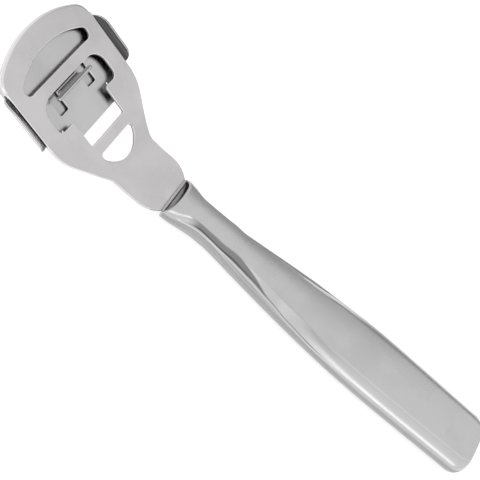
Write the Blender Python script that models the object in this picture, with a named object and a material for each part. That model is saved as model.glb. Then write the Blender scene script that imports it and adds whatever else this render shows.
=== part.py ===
"""All-steel callus shaver: a pressed head plate on a hollow steel handle, a sliding
carrier with finger wings and a thumb catch under the head, and the sole and blade
that the carrier holds.  Metres, +Z up, +X towards the end of the handle.

The handle lies flat on z = 0 and the origin is on its underside, REST_X behind the
mouth.  The handle's own lengths start at the mouth.  Places on the head are given as
(s, b, n): s is the distance ahead of the mouth along the sheet, b is across it, and n
is the height above the top face of the head plate."""

import math

import bmesh
import bpy
from mathutils import Matrix, Vector

# ---------------------------------------------------------------- driving sizes
# blade, which sets the width of the head
BLADE_WIDTH = 0.0390
BLADE_THICKNESS = 0.0003
BLADE_SIDE_MARGIN = 0.00015     # sole beyond the blade's ends
BLADE_OVERHANG = 0.0005         # edge ahead of the throat's rear rim
BLADE_BEVEL = 0.0014
BLADE_EDGE_THICKNESS = 0.00004
BLADE_MARGIN = 0.0002           # blade's back ahead of the sole's rear edge
# head plate, from the mouth of the handle to the tip
PLATE_THICKNESS = 0.0009
HEEL_LENGTH = 0.0078            # rounding of the neck where it meets the handle
WAIST_LENGTH = 0.0078
WAIST_HALF_WIDTH = 0.0106
WAIST_RADIUS = 0.0045
SHOULDER_ANGLE = math.radians(34.3)
SHOULDER_RADIUS = 0.0158
SIDE_LENGTH = 0.0200            # straight sides of the head
FRONT_RADIUS = 0.0371           # arc of the front edge
FRONT_CORNER_RADIUS = 0.0056
NECK_BEND_START_S = 0.0106
NECK_BEND_RADIUS = 0.0388
NECK_BEND_ANGLE = math.radians(21.0)
MOUTH_SIDE_GAP = 0.0006         # neck to the mouth's inner wall
TANG_SIDE_GAP = 0.0014
TANG_LENGTH = 0.0200
TANG_TAPER_LENGTH = 0.0060
TANG_LIFT = 0.0004              # tang above the seam of the handle
# rolled front lip of the head plate
LIP_DEPTH = 0.0024
LIP_ROLL_RADIUS = 0.0009
HEM_THICKNESS = 0.0005
HEM_REACH = 0.0015
# windows in the head plate, from the tip back to the neck
CRESCENT_BORDER = 0.0073        # metal between the crescent and the front edge
CRESCENT_LENGTH = 0.0077
CRESCENT_SIDE_BORDER = 0.00525
CRESCENT_END_RADIUS = 0.0020
BRIDGE_LENGTH = 0.0038          # band between the crescent and the bowl
BOWL_LENGTH = 0.0103
BOWL_SIDE_BORDER = 0.00625
BOWL_FRONT_RADIUS = 0.0050
BOWL_REAR_RADIUS = 0.0022
STEM_LENGTH = 0.0094
STEM_HALF_WIDTH = 0.0087
STEM_RADIUS = 0.0008
BOW_BRIDGE_LENGTH = 0.0037
BOW_LENGTH = 0.0064
BOW_HALF_WIDTH = 0.0081
BOW_CORNER_RADIUS = 0.0013
# carrier under the head
CARRIER_GAP = 0.0014            # head plate underside to carrier floor
CARRIER_THICKNESS = 0.00075
WING_OUTSTAND = 0.00285         # rim beyond the side of the head plate
WING_RIM_HEIGHT = 0.0010        # above the head plate's top face
WING_TURN = math.radians(78.0)
WING_SETBACK = 0.0011           # rear edge ahead of the end of the straight sides
WING_FRONT_GAP = 0.0005         # front edge behind the rolled lip
WING_REAR_RADIUS = 0.0032
WING_FRONT_RADIUS = 0.0060
RELEASE_TRAVEL = 0.0033
TONGUE_HALF_WIDTH = 0.0115
TONGUE_OVERHANG = 0.0006        # tongue behind the keeper
TONGUE_RADIUS = 0.0008
TOE_LIP_THICKNESS = 0.0005
TOE_FIRST_STATION = 9           # station of the front edge where the toe lip begins
TOE_RISER_THICKNESS = 0.00075
TOE_STEP = 0.0001               # floor's edge ahead of the riser
CHIP_SLOT_SETBACK = 0.0002      # slot's rear edge behind the bowl's front edge
CHIP_SLOT_LENGTH = 0.00295
CHIP_SLOT_END = 0.0025          # blade beyond the end of the slot
RELIEF_LENGTH = 0.0070
RELIEF_WIDTH = 0.0040
RELIEF_RADIUS = 0.0006
CATCH_SETBACK = 0.0013          # catch behind the bowl's front edge
CATCH_NECK_HALF_WIDTH = 0.0048
CATCH_EAR_HALF_WIDTH = 0.0086
CATCH_EAR_DEPTH = 0.0019
CATCH_EAR_ROUND_SHARE = 0.45
CATCH_TOP_HEIGHT = 0.00135      # above the head plate's top face
CATCH_LEAN = math.radians(15.0)
CATCH_TONGUE_MARGIN = 0.0005    # spring tongue beyond the neck of the catch
# sole and its rivets
SOLE_THICKNESS = 0.0006
SOLE_SETBACK = 0.0001           # sole's rear edge ahead of the wings' rear edge
SOLE_RECESS = 0.0016            # sole's edge behind the head's edge
SOLE_CORNER_RADIUS = 0.0030
THROAT_SETBACK = 0.0006         # throat's rear rim ahead of the bowl's front edge
THROAT_LENGTH = 0.0031
THROAT_END = 0.0020             # blade beyond the end of the throat
THROAT_RADIUS = 0.0008
RIVET_RADIUS = 0.0012
RIVET_SETBACK = 0.0003
RIVET_END = 0.0035              # blade's end beyond a rivet
# keeper under the neck that holds up the carrier's tongue
KEEPER_LENGTH = 0.0019
KEEPER_GAP = 0.0004             # left when the carrier is drawn back
KEEPER_FOOT_REACH = 0.0030
KEEPER_THICKNESS = 0.0007
# clearance between touching pieces
SEAT_GAP = 0.0003
FIT_GAP = 0.00025
WELD_DISTANCE = 0.00001
# hollow handle
REST_X = 0.0310                 # the origin, behind the mouth
HANDLE_LENGTH = 0.1266
HANDLE_WALL = 0.0008
HANDLE_TOP_Z = 0.0079
HANDLE_MOUTH_TOP_Z = 0.0083
HANDLE_SEAM_Z = 0.0036
HANDLE_DOME = 0.0004            # rise of the top face between its two creases
HANDLE_END_RADIUS = 0.0034      # corners of the end, seen from above
HANDLE_EDGE_RADIUS = 0.0018     # rounding of the end's upper and lower edges
HANDLE_MOUTH_RISE = 0.0007      # underside of the mouth above the table
HANDLE_FLAT_START = 0.0090
BOTTOM_FLAT_SHARE = 0.60        # flat part of the underside, of the half width
BOTTOM_ROUND_POWER = 0.90
MOUTH_HALF_WIDTH = 0.0079
FLARE_LENGTH = 0.0130
GRIP_HALF_WIDTH = 0.0059
GRIP_END_X = 0.0180
PALM_HALF_WIDTH = 0.0119
PALM_X = 0.0850
HANDLE_END_HALF_WIDTH = 0.0114
BAND_ROUND_POWER = 0.80
# The flank along the handle: place (of the length), crease of the top face and foot
# of the flute (of the half width), and height of that foot (of the flank's height).
FLANK_SHARES = ((0.00, 0.55, 0.80, 0.50), (0.05, 0.62, 0.75, 0.58),
                (0.10, 0.71, 0.76, 0.60), (0.15, 0.73, 0.79, 0.55),
                (0.21, 0.59, 0.68, 0.48), (0.27, 0.585, 0.70, 0.46),
                (0.33, 0.60, 0.79, 0.45), (0.41, 0.62, 0.88, 0.40),
                (0.52, 0.71, 0.93, 0.32), (0.63, 0.77, 0.96, 0.22),
                (1.00, 0.79, 0.97, 0.18))
BAND_STEPS = 4
WALL_STEPS = 3
FACE_STEPS = 4
CORNER_STEPS = 7
FLARE_STEPS = 6
BODY_STEPS = 22
END_STEPS = 5
PLUG_LENGTH = 0.0150
PLUG_START = 0.0020
PLUG_SIDE_GAP = 0.0017

# ---------------------------------------------------------------- worked-out sizes
PLATE_HALF_WIDTH = BLADE_WIDTH / 2.0 + BLADE_SIDE_MARGIN + SOLE_RECESS
CRESCENT_HALF_WIDTH = PLATE_HALF_WIDTH - CRESCENT_SIDE_BORDER
BOWL_HALF_WIDTH = PLATE_HALF_WIDTH - BOWL_SIDE_BORDER
CHIP_SLOT_HALF_WIDTH = BLADE_WIDTH / 2.0 - CHIP_SLOT_END
THROAT_HALF_WIDTH = BLADE_WIDTH / 2.0 - THROAT_END
RIVET_B = BLADE_WIDTH / 2.0 - RIVET_END
CATCH_TONGUE_HALF_WIDTH = CATCH_NECK_HALF_WIDTH + CATCH_TONGUE_MARGIN
RELIEF_HALF_WIDTH = CATCH_TONGUE_HALF_WIDTH + RELIEF_WIDTH
MOUTH_FIT_HALF_WIDTH = MOUTH_HALF_WIDTH - HANDLE_WALL - MOUTH_SIDE_GAP
TANG_HALF_WIDTH = GRIP_HALF_WIDTH - HANDLE_WALL - TANG_SIDE_GAP
PLUG_HALF_WIDTH = GRIP_HALF_WIDTH - HANDLE_WALL - PLUG_SIDE_GAP
# heights above the head plate's top face, and above the table
PLATE_BOTTOM_N = -PLATE_THICKNESS
FLOOR_TOP_N = PLATE_BOTTOM_N - CARRIER_GAP
FLOOR_BOTTOM_N = FLOOR_TOP_N - CARRIER_THICKNESS
BLADE_TOP_N = FLOOR_BOTTOM_N - SEAT_GAP
BLADE_BOTTOM_N = BLADE_TOP_N - BLADE_THICKNESS
SOLE_TOP_N = BLADE_BOTTOM_N - SEAT_GAP
SOLE_BOTTOM_N = SOLE_TOP_N - SOLE_THICKNESS
TANG_TOP_Z = HANDLE_SEAM_Z + TANG_LIFT + PLATE_THICKNESS
# outline of the head plate along s
SHOULDER_RUN = SHOULDER_RADIUS * math.sin(SHOULDER_ANGLE)
SHOULDER_DROP = SHOULDER_RADIUS * (1.0 - math.cos(SHOULDER_ANGLE))
WAIST_RISE = WAIST_RADIUS * (1.0 - math.cos(SHOULDER_ANGLE))
FLARE_RISE = PLATE_HALF_WIDTH - SHOULDER_DROP - WAIST_RISE - WAIST_HALF_WIDTH
WAIST_FRONT_S = HEEL_LENGTH + WAIST_LENGTH
FLARE_REAR_S = WAIST_FRONT_S + WAIST_RADIUS * math.sin(SHOULDER_ANGLE)
SIDE_REAR_S = FLARE_REAR_S + FLARE_RISE / math.tan(SHOULDER_ANGLE) + SHOULDER_RUN
SIDE_FRONT_S = SIDE_REAR_S + SIDE_LENGTH
CORNER_B = PLATE_HALF_WIDTH - FRONT_CORNER_RADIUS
FRONT_CENTRE_S = SIDE_FRONT_S - math.sqrt((FRONT_RADIUS - FRONT_CORNER_RADIUS) ** 2
                                          - CORNER_B ** 2)
HEAD_TIP_S = FRONT_CENTRE_S + FRONT_RADIUS
HEEL_DROP = WAIST_HALF_WIDTH - MOUTH_FIT_HALF_WIDTH
HEEL_RADIUS = (HEEL_DROP ** 2 + HEEL_LENGTH ** 2) / (2.0 * HEEL_DROP)
FLAT_START_S = NECK_BEND_START_S + NECK_BEND_RADIUS * NECK_BEND_ANGLE
# windows along s
CRESCENT_REAR_S = HEAD_TIP_S - CRESCENT_BORDER - CRESCENT_LENGTH
BOWL_FRONT_S = CRESCENT_REAR_S - BRIDGE_LENGTH
BOWL_REAR_S = BOWL_FRONT_S - BOWL_LENGTH
STEM_REAR_S = BOWL_REAR_S - STEM_LENGTH
BOW_FRONT_S = STEM_REAR_S - BOW_BRIDGE_LENGTH
# carrier, sole, blade and keeper along s
WING_REAR_S = SIDE_REAR_S + WING_SETBACK
WING_FRONT_S = SIDE_FRONT_S - WING_FRONT_GAP
CHIP_SLOT_REAR_S = BOWL_FRONT_S - CHIP_SLOT_SETBACK
RELIEF_REAR_S = CHIP_SLOT_REAR_S - RELIEF_LENGTH
CATCH_FRONT_S = BOWL_FRONT_S - CATCH_SETBACK
SOLE_REAR_S = WING_REAR_S + SOLE_SETBACK
THROAT_REAR_S = BOWL_FRONT_S + THROAT_SETBACK
RIVET_S = SIDE_FRONT_S - RIVET_SETBACK
BLADE_FRONT_S = THROAT_REAR_S + BLADE_OVERHANG
BLADE_REAR_S = SOLE_REAR_S + BLADE_MARGIN
KEEPER_FRONT_S = WING_REAR_S - RELEASE_TRAVEL - KEEPER_GAP
TONGUE_REAR_S = KEEPER_FRONT_S - KEEPER_LENGTH - TONGUE_OVERHANG
# pressed forms of the carrier
TOE_LIP_INSET = PLATE_THICKNESS + SEAT_GAP
FLOOR_INSET = PLATE_THICKNESS + HEM_REACH + 2.0 * SEAT_GAP
RISER_OUTER_INSET = FLOOR_INSET + TOE_STEP
RISER_INNER_INSET = RISER_OUTER_INSET + TOE_RISER_THICKNESS
TOE_LIP_TOP_N = PLATE_BOTTOM_N - FIT_GAP
WING_RIM_HALF_WIDTH = PLATE_HALF_WIDTH + WING_OUTSTAND
WING_OUTER_RADIUS = (WING_RIM_HEIGHT - FLOOR_BOTTOM_N) / (1.0 - math.cos(WING_TURN))
WING_MIDDLE_RADIUS = WING_OUTER_RADIUS - CARRIER_THICKNESS / 2.0
WING_BEND_B = WING_RIM_HALF_WIDTH - WING_OUTER_RADIUS * math.sin(WING_TURN)
WING_BLANK_HALF_WIDTH = WING_BEND_B + WING_MIDDLE_RADIUS * WING_TURN
# where the flat head begins, from the mouth
HEAD_FRAME_X = -NECK_BEND_START_S - NECK_BEND_RADIUS * math.sin(NECK_BEND_ANGLE)
HEAD_FRAME_Z = TANG_TOP_Z + NECK_BEND_RADIUS * (1.0 - math.cos(NECK_BEND_ANGLE))


# ---------------------------------------------------------------- scene and materials
def clear_scene():
    for old in list(bpy.data.objects):
        bpy.data.objects.remove(old)


def new_collection(name):
    made = bpy.data.collections.new(name)
    bpy.context.scene.collection.children.link(made)
    return made


def steel(name, colour, roughness):
    made = bpy.data.materials.new(name)
    made.use_nodes = True
    shader = made.node_tree.nodes["Principled BSDF"]
    shader.inputs["Base Color"].default_value = (*colour, 1.0)
    shader.inputs["Roughness"].default_value = roughness
    shader.inputs["Metallic"].default_value = 1.0
    made.diffuse_color = (*colour, 1.0)
    return made


def add_object(name, mesh, collection, material=None, parent=None):
    made = bpy.data.objects.new(name, mesh)
    collection.objects.link(made)
    if material:
        made.data.materials.clear()
        made.data.materials.append(material)
    if parent:
        made.parent = parent
    return made


# ---------------------------------------------------------------- outline helpers
def arc(centre, radius, start, end, steps):
    """Points on an arc, both ends included."""
    return [(centre[0] + radius * math.cos(start + (end - start) * i / steps),
             centre[1] + radius * math.sin(start + (end - start) * i / steps))
            for i in range(steps + 1)]


def fillet(corners, steps=6):
    """Round the corners of a closed outline; each corner is (s, b, radius)."""
    points = []
    count = len(corners)
    for i, (s, b, radius) in enumerate(corners):
        here = Vector((s, b))
        before = Vector(corners[i - 1][:2]) - here
        after = Vector(corners[(i + 1) % count][:2]) - here
        if radius <= 0.0:
            points.append((s, b))
            continue
        before.normalize()
        after.normalize()
        half = before.angle(after) / 2.0
        reach = radius / math.tan(half)
        centre = here + (before + after).normalized() * (radius / math.sin(half))
        first = here + before * reach - centre
        last = here + after * reach - centre
        turn = first.angle_signed(last)
        for k in range(steps + 1):
            spoke = Matrix.Rotation(-turn * k / steps, 2) @ first
            points.append(tuple(centre + spoke))
    return points


def mirrored(half):
    """Close a half outline given at b >= 0 with its mirror image."""
    other = [(s, -b) for s, b in reversed(half) if b > WELD_DISTANCE]
    return half + other


def welded(mesh):
    form = bmesh.new()
    form.from_mesh(mesh)
    bmesh.ops.remove_doubles(form, verts=form.verts, dist=WELD_DISTANCE)
    bmesh.ops.recalc_face_normals(form, faces=form.faces)
    form.to_mesh(mesh)
    form.free()
    return mesh


def sheet(name, outlines, top, thickness):
    """A flat sheet cut to closed outlines of (s, b), lying in head-frame places."""
    curve = bpy.data.curves.new(name + "_outline", "CURVE")
    curve.dimensions = "2D"
    curve.fill_mode = "BOTH"
    curve.extrude = thickness / 2.0
    for outline in outlines:
        spline = curve.splines.new("POLY")
        spline.points.add(len(outline) - 1)
        for point, (s, b) in zip(spline.points, outline):
            point.co = (FLAT_START_S - s, b, 0.0, 1.0)
        spline.use_cyclic_u = True
    blank = bpy.data.objects.new(name + "_blank", curve)
    bpy.context.scene.collection.objects.link(blank)
    graph = bpy.context.evaluated_depsgraph_get()
    mesh = bpy.data.meshes.new_from_object(blank.evaluated_get(graph))
    bpy.data.objects.remove(blank)
    mesh.name = name
    for vertex in mesh.vertices:
        vertex.co.z = top if vertex.co.z > 0.0 else top - thickness
    return welded(mesh)


def score(mesh, axis, places):
    """Cut a mesh across an axis at the given places so that it can be bent there."""
    form = bmesh.new()
    form.from_mesh(mesh)
    normal = Vector((0.0, 0.0, 0.0))
    normal[axis] = 1.0
    for place in places:
        point = Vector((0.0, 0.0, 0.0))
        point[axis] = place
        everything = list(form.verts) + list(form.edges) + list(form.faces)
        bmesh.ops.bisect_plane(form, geom=everything, dist=WELD_DISTANCE,
                               plane_co=point, plane_no=normal)
    form.to_mesh(mesh)
    form.free()


def press(mesh, shape):
    """Move each vertex of a flat blank to its pressed place."""
    for vertex in mesh.vertices:
        vertex.co = shape(vertex.co)
    mesh.update()


def join_solid(target, other):
    """Union of two closed meshes; the second object is used up."""
    cut = target.modifiers.new("join", "BOOLEAN")
    cut.operation = "UNION"
    cut.solver = "EXACT"
    cut.object = other
    graph = bpy.context.evaluated_depsgraph_get()
    mesh = bpy.data.meshes.new_from_object(target.evaluated_get(graph))
    target.modifiers.remove(cut)
    bpy.data.objects.remove(other)
    target.data = welded(mesh)


# ---------------------------------------------------------------- head plate
def neck_shape(place):
    """Bend the flat blank upwards over the neck, behind the head frame's origin."""
    reach = place.x
    if reach <= 0.0:
        return Vector(place)
    angle = min(reach / NECK_BEND_RADIUS, NECK_BEND_ANGLE)
    past = max(reach - NECK_BEND_RADIUS * NECK_BEND_ANGLE, 0.0)
    radius = NECK_BEND_RADIUS - place.z
    x = radius * math.sin(angle) + past * math.cos(angle)
    z = NECK_BEND_RADIUS - radius * math.cos(angle) + past * math.sin(angle)
    return Vector((x, place.y, z))


def front_edge(inset, steps=28, corner_steps=6):
    """Half of the head's front edge, from the side to the tip, moved in by inset."""
    turn = math.atan2(CORNER_B, SIDE_FRONT_S - FRONT_CENTRE_S)
    side = arc((SIDE_FRONT_S, CORNER_B), FRONT_CORNER_RADIUS - inset,
               math.pi / 2.0, turn, corner_steps)
    front = arc((FRONT_CENTRE_S, 0.0), FRONT_RADIUS - inset, turn, 0.0, steps)
    return side + front[1:]


def head_outline(inset):
    """The whole outline of the head, neck and tang."""
    shoulder = arc((SIDE_REAR_S, PLATE_HALF_WIDTH - SHOULDER_RADIUS), SHOULDER_RADIUS,
                   math.pi / 2.0, math.pi / 2.0 + SHOULDER_ANGLE, 10)
    waist = arc((WAIST_FRONT_S, WAIST_HALF_WIDTH + WAIST_RADIUS), WAIST_RADIUS,
                -math.pi / 2.0 + SHOULDER_ANGLE, -math.pi / 2.0, 8)
    heel_turn = math.asin(HEEL_LENGTH / HEEL_RADIUS)
    heel = arc((HEEL_LENGTH, WAIST_HALF_WIDTH - HEEL_RADIUS), HEEL_RADIUS,
               math.pi / 2.0, math.pi / 2.0 + heel_turn, 8)
    tang = [(-TANG_TAPER_LENGTH, TANG_HALF_WIDTH), (-TANG_LENGTH, TANG_HALF_WIDTH),
            (-TANG_LENGTH, 0.0)]
    front = list(reversed(front_edge(inset)))
    side = [(SIDE_FRONT_S, PLATE_HALF_WIDTH)]
    return mirrored(front + side + shoulder + waist + heel + tang)


def crescent_outline():
    """Window behind the front edge: a chord, an arc and two round ends."""
    radius = FRONT_RADIUS - CRESCENT_BORDER
    end = CRESCENT_END_RADIUS
    across = CRESCENT_HALF_WIDTH - end
    along = math.sqrt((radius - end) ** 2 - across ** 2)
    turn = math.atan2(across, along)
    front = arc((FRONT_CENTRE_S, 0.0), radius, 0.0, turn, 16)
    tip = arc((FRONT_CENTRE_S + along, across), end, turn, math.pi, 10)
    rear = [(CRESCENT_REAR_S, across - end / 2.0), (CRESCENT_REAR_S, 0.0)]
    return mirrored(front + tip[1:] + rear)


def bowl_outline():
    """Mushroom window: a wide bowl in front and a narrower stem behind it."""
    half = [(BOWL_FRONT_S, BOWL_HALF_WIDTH, BOWL_FRONT_RADIUS),
            (BOWL_REAR_S, BOWL_HALF_WIDTH, BOWL_REAR_RADIUS),
            (BOWL_REAR_S, STEM_HALF_WIDTH, STEM_RADIUS),
            (STEM_REAR_S, STEM_HALF_WIDTH, STEM_RADIUS)]
    other = [(s, -b, r) for s, b, r in reversed(half)]
    return fillet(half + other)


def bow_outline():
    """D-shaped window at the root of the neck."""
    depth = BOW_LENGTH
    half = BOW_HALF_WIDTH
    corner = BOW_CORNER_RADIUS
    radius = ((depth - corner) ** 2 + half ** 2) / (2.0 * (depth - corner))
    centre_s = BOW_FRONT_S - depth + radius
    across = half - corner
    end = math.atan2(half, corner + centre_s - BOW_FRONT_S)
    rear = arc((centre_s, 0.0), radius, math.pi, math.pi - end, 12)
    front = arc((BOW_FRONT_S - corner, across), corner, math.pi / 2.0, 0.0, 5)
    return mirrored(rear[:-1] + front + [(BOW_FRONT_S, 0.0)])


def lip_profile():
    """Section of the rolled front lip as (inset, n), round the outside first."""
    wall = PLATE_THICKNESS
    roll = arc((LIP_ROLL_RADIUS, -LIP_ROLL_RADIUS), LIP_ROLL_RADIUS,
               math.pi / 2.0, math.pi, 5)
    curl = arc((LIP_ROLL_RADIUS, LIP_ROLL_RADIUS - LIP_DEPTH), LIP_ROLL_RADIUS,
               math.pi, 1.5 * math.pi, 4)
    reach = wall + HEM_REACH
    hem_top = HEM_THICKNESS - LIP_DEPTH
    inside = [(reach, -LIP_DEPTH), (reach, hem_top), (wall, hem_top),
              (wall, PLATE_BOTTOM_N), (2.0 * wall, PLATE_BOTTOM_N), (2.0 * wall, 0.0)]
    return roll + curl + inside


def edge_sweep(name, profile, first, collection):
    """Sweep a section of (inset, n) round the head's front edge, from one of its
    stations to the mirror image of that station."""
    rings = [front_edge(inset)[first:] for inset, _ in profile]
    stations = [[ring[i] for ring in rings] for i in range(len(rings[0]))]
    stations += [[(s, -b) for s, b in station] for station in reversed(stations[:-1])]
    form = bmesh.new()
    loops = []
    for station in stations:
        loops.append([form.verts.new((FLAT_START_S - s, b, n))
                      for (s, b), (_, n) in zip(station, profile)])
    count = len(profile)
    for one, two in zip(loops, loops[1:]):
        for i in range(count):
            j = (i + 1) % count
            form.faces.new((one[i], one[j], two[j], two[i]))
    form.faces.new(loops[0])
    form.faces.new(list(reversed(loops[-1])))
    bmesh.ops.recalc_face_normals(form, faces=form.faces)
    mesh = bpy.data.meshes.new(name)
    form.to_mesh(mesh)
    form.free()
    return add_object(name, mesh, collection)


def make_head_plate(parts, cutters, material, frame):
    """The top plate of the head with its windows, rolled lip, bent neck and tang."""
    outlines = [head_outline(PLATE_THICKNESS), crescent_outline(), bowl_outline(),
                bow_outline()]
    mesh = sheet("head_plate", outlines, 0.0, PLATE_THICKNESS)
    body = add_object("head_plate", mesh, parts, material)
    join_solid(body, edge_sweep("front_lip", lip_profile(), 0, cutters))
    bend = NECK_BEND_RADIUS * NECK_BEND_ANGLE
    score(body.data, 0, [bend * i / 8 for i in range(9)])
    press(body.data, neck_shape)
    body.parent = frame
    return body


# ---------------------------------------------------------------- carrier
def carrier_outline():
    """Half of the carrier's blank: tongue, floor, a wing laid flat and the toe."""
    toe = front_edge(FLOOR_INSET)
    half = [(TONGUE_REAR_S, TONGUE_HALF_WIDTH, TONGUE_RADIUS),
            (WING_REAR_S, TONGUE_HALF_WIDTH, TONGUE_RADIUS),
            (WING_REAR_S, WING_BLANK_HALF_WIDTH, WING_REAR_RADIUS),
            (WING_FRONT_S, WING_BLANK_HALF_WIDTH, WING_FRONT_RADIUS),
            (WING_FRONT_S, toe[0][1], 0.0)]
    half += [(s, b, 0.0) for s, b in toe]
    other = [(s, -b, r) for s, b, r in reversed(half[:-1])]
    return fillet(half + other)


def chip_outline():
    """Chip slot of the carrier, joined to the cut that frees the catch's tongue."""
    slot_front = CHIP_SLOT_REAR_S + CHIP_SLOT_LENGTH
    tongue = CATCH_TONGUE_HALF_WIDTH
    half = [(slot_front, CHIP_SLOT_HALF_WIDTH, RELIEF_RADIUS),
            (CHIP_SLOT_REAR_S, CHIP_SLOT_HALF_WIDTH, RELIEF_RADIUS),
            (CHIP_SLOT_REAR_S, RELIEF_HALF_WIDTH, RELIEF_RADIUS),
            (RELIEF_REAR_S, RELIEF_HALF_WIDTH, RELIEF_RADIUS),
            (RELIEF_REAR_S, tongue, RELIEF_RADIUS),
            (CATCH_FRONT_S + SEAT_GAP, tongue, 0.0)]
    other = [(s, -b, r) for s, b, r in reversed(half)]
    return fillet(half + other, 4)


def wing_shape(place):
    """Roll the sides of the carrier's blank upwards into the two finger wings."""
    past = abs(place.y) - WING_BEND_B
    if past <= 0.0:
        return Vector(place)
    angle = past / WING_MIDDLE_RADIUS
    radius = WING_OUTER_RADIUS - (place.z - FLOOR_BOTTOM_N)
    b = WING_BEND_B + radius * math.sin(angle)
    n = FLOOR_BOTTOM_N + WING_OUTER_RADIUS - radius * math.cos(angle)
    return Vector((place.x, math.copysign(b, place.y), n))


def toe_profile():
    """Section of the toe as (inset, n): a riser on the floor with a lip on top."""
    under = TOE_LIP_TOP_N - TOE_LIP_THICKNESS
    foot = FLOOR_TOP_N - CARRIER_THICKNESS / 2.0
    return [(RISER_INNER_INSET, foot), (RISER_INNER_INSET, TOE_LIP_TOP_N),
            (TOE_LIP_INSET, TOE_LIP_TOP_N), (TOE_LIP_INSET, under),
            (RISER_OUTER_INSET, under), (RISER_OUTER_INSET, foot)]


def catch_piece(collection):
    """Upright thumb catch: a narrow neck with two round ears, leaning back."""
    root = -CARRIER_THICKNESS / 2.0
    height = (CATCH_TOP_HEIGHT - FLOOR_TOP_N) / math.cos(CATCH_LEAN)
    ear_radius = CATCH_EAR_DEPTH * CATCH_EAR_ROUND_SHARE
    corners = [(root, CATCH_NECK_HALF_WIDTH, 0.0),
               (height - CATCH_EAR_DEPTH, CATCH_NECK_HALF_WIDTH, RELIEF_RADIUS),
               (height - CATCH_EAR_DEPTH, CATCH_EAR_HALF_WIDTH, ear_radius),
               (height, CATCH_EAR_HALF_WIDTH, ear_radius)]
    corners += [(u, -b, r) for u, b, r in reversed(corners)]
    flat = [(FLAT_START_S - u, b) for u, b in fillet(corners, 5)]
    mesh = sheet("catch", [flat], 0.0, CARRIER_THICKNESS)
    # the sheet's u axis is stood up along n and leant towards the handle
    stand = Matrix.Rotation(-math.pi / 2.0 + CATCH_LEAN, 4, "Y")
    front = Vector((FLAT_START_S - CATCH_FRONT_S, 0.0, FLOOR_TOP_N))
    mesh.transform(Matrix.Translation(front) @ stand)
    return add_object("catch", mesh, collection)


def make_carrier(parts, cutters, material, frame):
    """The sliding carrier with its wings, toe lip, chip slot and thumb catch."""
    outlines = [carrier_outline(), chip_outline()]
    mesh = sheet("blade_carrier", outlines, FLOOR_TOP_N, CARRIER_THICKNESS)
    body = add_object("blade_carrier", mesh, parts, material)
    steps = 8
    bends = [WING_BEND_B + (WING_BLANK_HALF_WIDTH - WING_BEND_B) * i / steps
             for i in range(steps)]
    score(body.data, 1, bends + [-b for b in bends])
    press(body.data, wing_shape)
    join_solid(body, edge_sweep("toe_lip", toe_profile(), TOE_FIRST_STATION, cutters))
    join_solid(body, catch_piece(cutters))
    body.parent = frame
    return body


# ---------------------------------------------------------------- sole, blade and rivets
def sole_outline():
    """Sole under the blade: straight sides, and a toe that follows the head."""
    toe = front_edge(SOLE_RECESS)
    half = [(SOLE_REAR_S, toe[0][1], SOLE_CORNER_RADIUS)]
    half += [(s, b, 0.0) for s, b in toe]
    other = [(s, -b, r) for s, b, r in reversed(half[:-1])]
    return fillet(half + other)


def throat_outline():
    """Slot in the sole that the blade's edge looks into."""
    front_s = THROAT_REAR_S + THROAT_LENGTH
    half = [(front_s, THROAT_HALF_WIDTH, THROAT_RADIUS),
            (THROAT_REAR_S, THROAT_HALF_WIDTH, THROAT_RADIUS)]
    other = [(s, -b, r) for s, b, r in reversed(half)]
    return fillet(half + other, 4)


def round_outline(centre, radius, steps=20):
    return arc(centre, radius, 0.0, 2.0 * math.pi * (steps - 1) / steps, steps - 1)


def make_sole(parts, material, frame):
    """Sole plate with its throat and the two rivet holes."""
    hole = RIVET_RADIUS + FIT_GAP
    holes = [round_outline((RIVET_S, side * RIVET_B), hole) for side in (1, -1)]
    mesh = sheet("sole_plate", [sole_outline(), throat_outline()] + holes,
                 SOLE_TOP_N, SOLE_THICKNESS)
    return add_object("sole_plate", mesh, parts, material, frame)


def make_blade(parts, material, frame):
    """Flat steel blade, ground to an edge along its front."""
    half = BLADE_WIDTH / 2.0
    back = FLAT_START_S - BLADE_REAR_S
    edge = FLAT_START_S - BLADE_FRONT_S
    section = [(back, BLADE_TOP_N), (edge + BLADE_BEVEL, BLADE_TOP_N),
               (edge, BLADE_BOTTOM_N + BLADE_EDGE_THICKNESS), (edge, BLADE_BOTTOM_N),
               (back, BLADE_BOTTOM_N)]
    form = bmesh.new()
    near = [form.verts.new((x, -half, n)) for x, n in section]
    face = form.faces.new(near)
    far = bmesh.ops.extrude_face_region(form, geom=[face])["geom"]
    moved = [item for item in far if isinstance(item, bmesh.types.BMVert)]
    bmesh.ops.translate(form, verts=moved, vec=(0.0, BLADE_WIDTH, 0.0))
    bmesh.ops.recalc_face_normals(form, faces=form.faces)
    mesh = bpy.data.meshes.new("blade")
    form.to_mesh(mesh)
    form.free()
    return add_object("blade", mesh, parts, material, frame)


def make_rivet(name, side, parts, material, frame):
    """Flush rivet that ties the sole to the carrier, beside the toe."""
    top = FLOOR_BOTTOM_N - FIT_GAP
    place = Matrix.Translation((FLAT_START_S - RIVET_S, side * RIVET_B,
                                (top + SOLE_BOTTOM_N) / 2.0))
    form = bmesh.new()
    bmesh.ops.create_cone(form, cap_ends=True, segments=20, radius1=RIVET_RADIUS,
                          radius2=RIVET_RADIUS, depth=top - SOLE_BOTTOM_N, matrix=place)
    mesh = bpy.data.meshes.new(name)
    form.to_mesh(mesh)
    form.free()
    return add_object(name, mesh, parts, material, frame)


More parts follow.
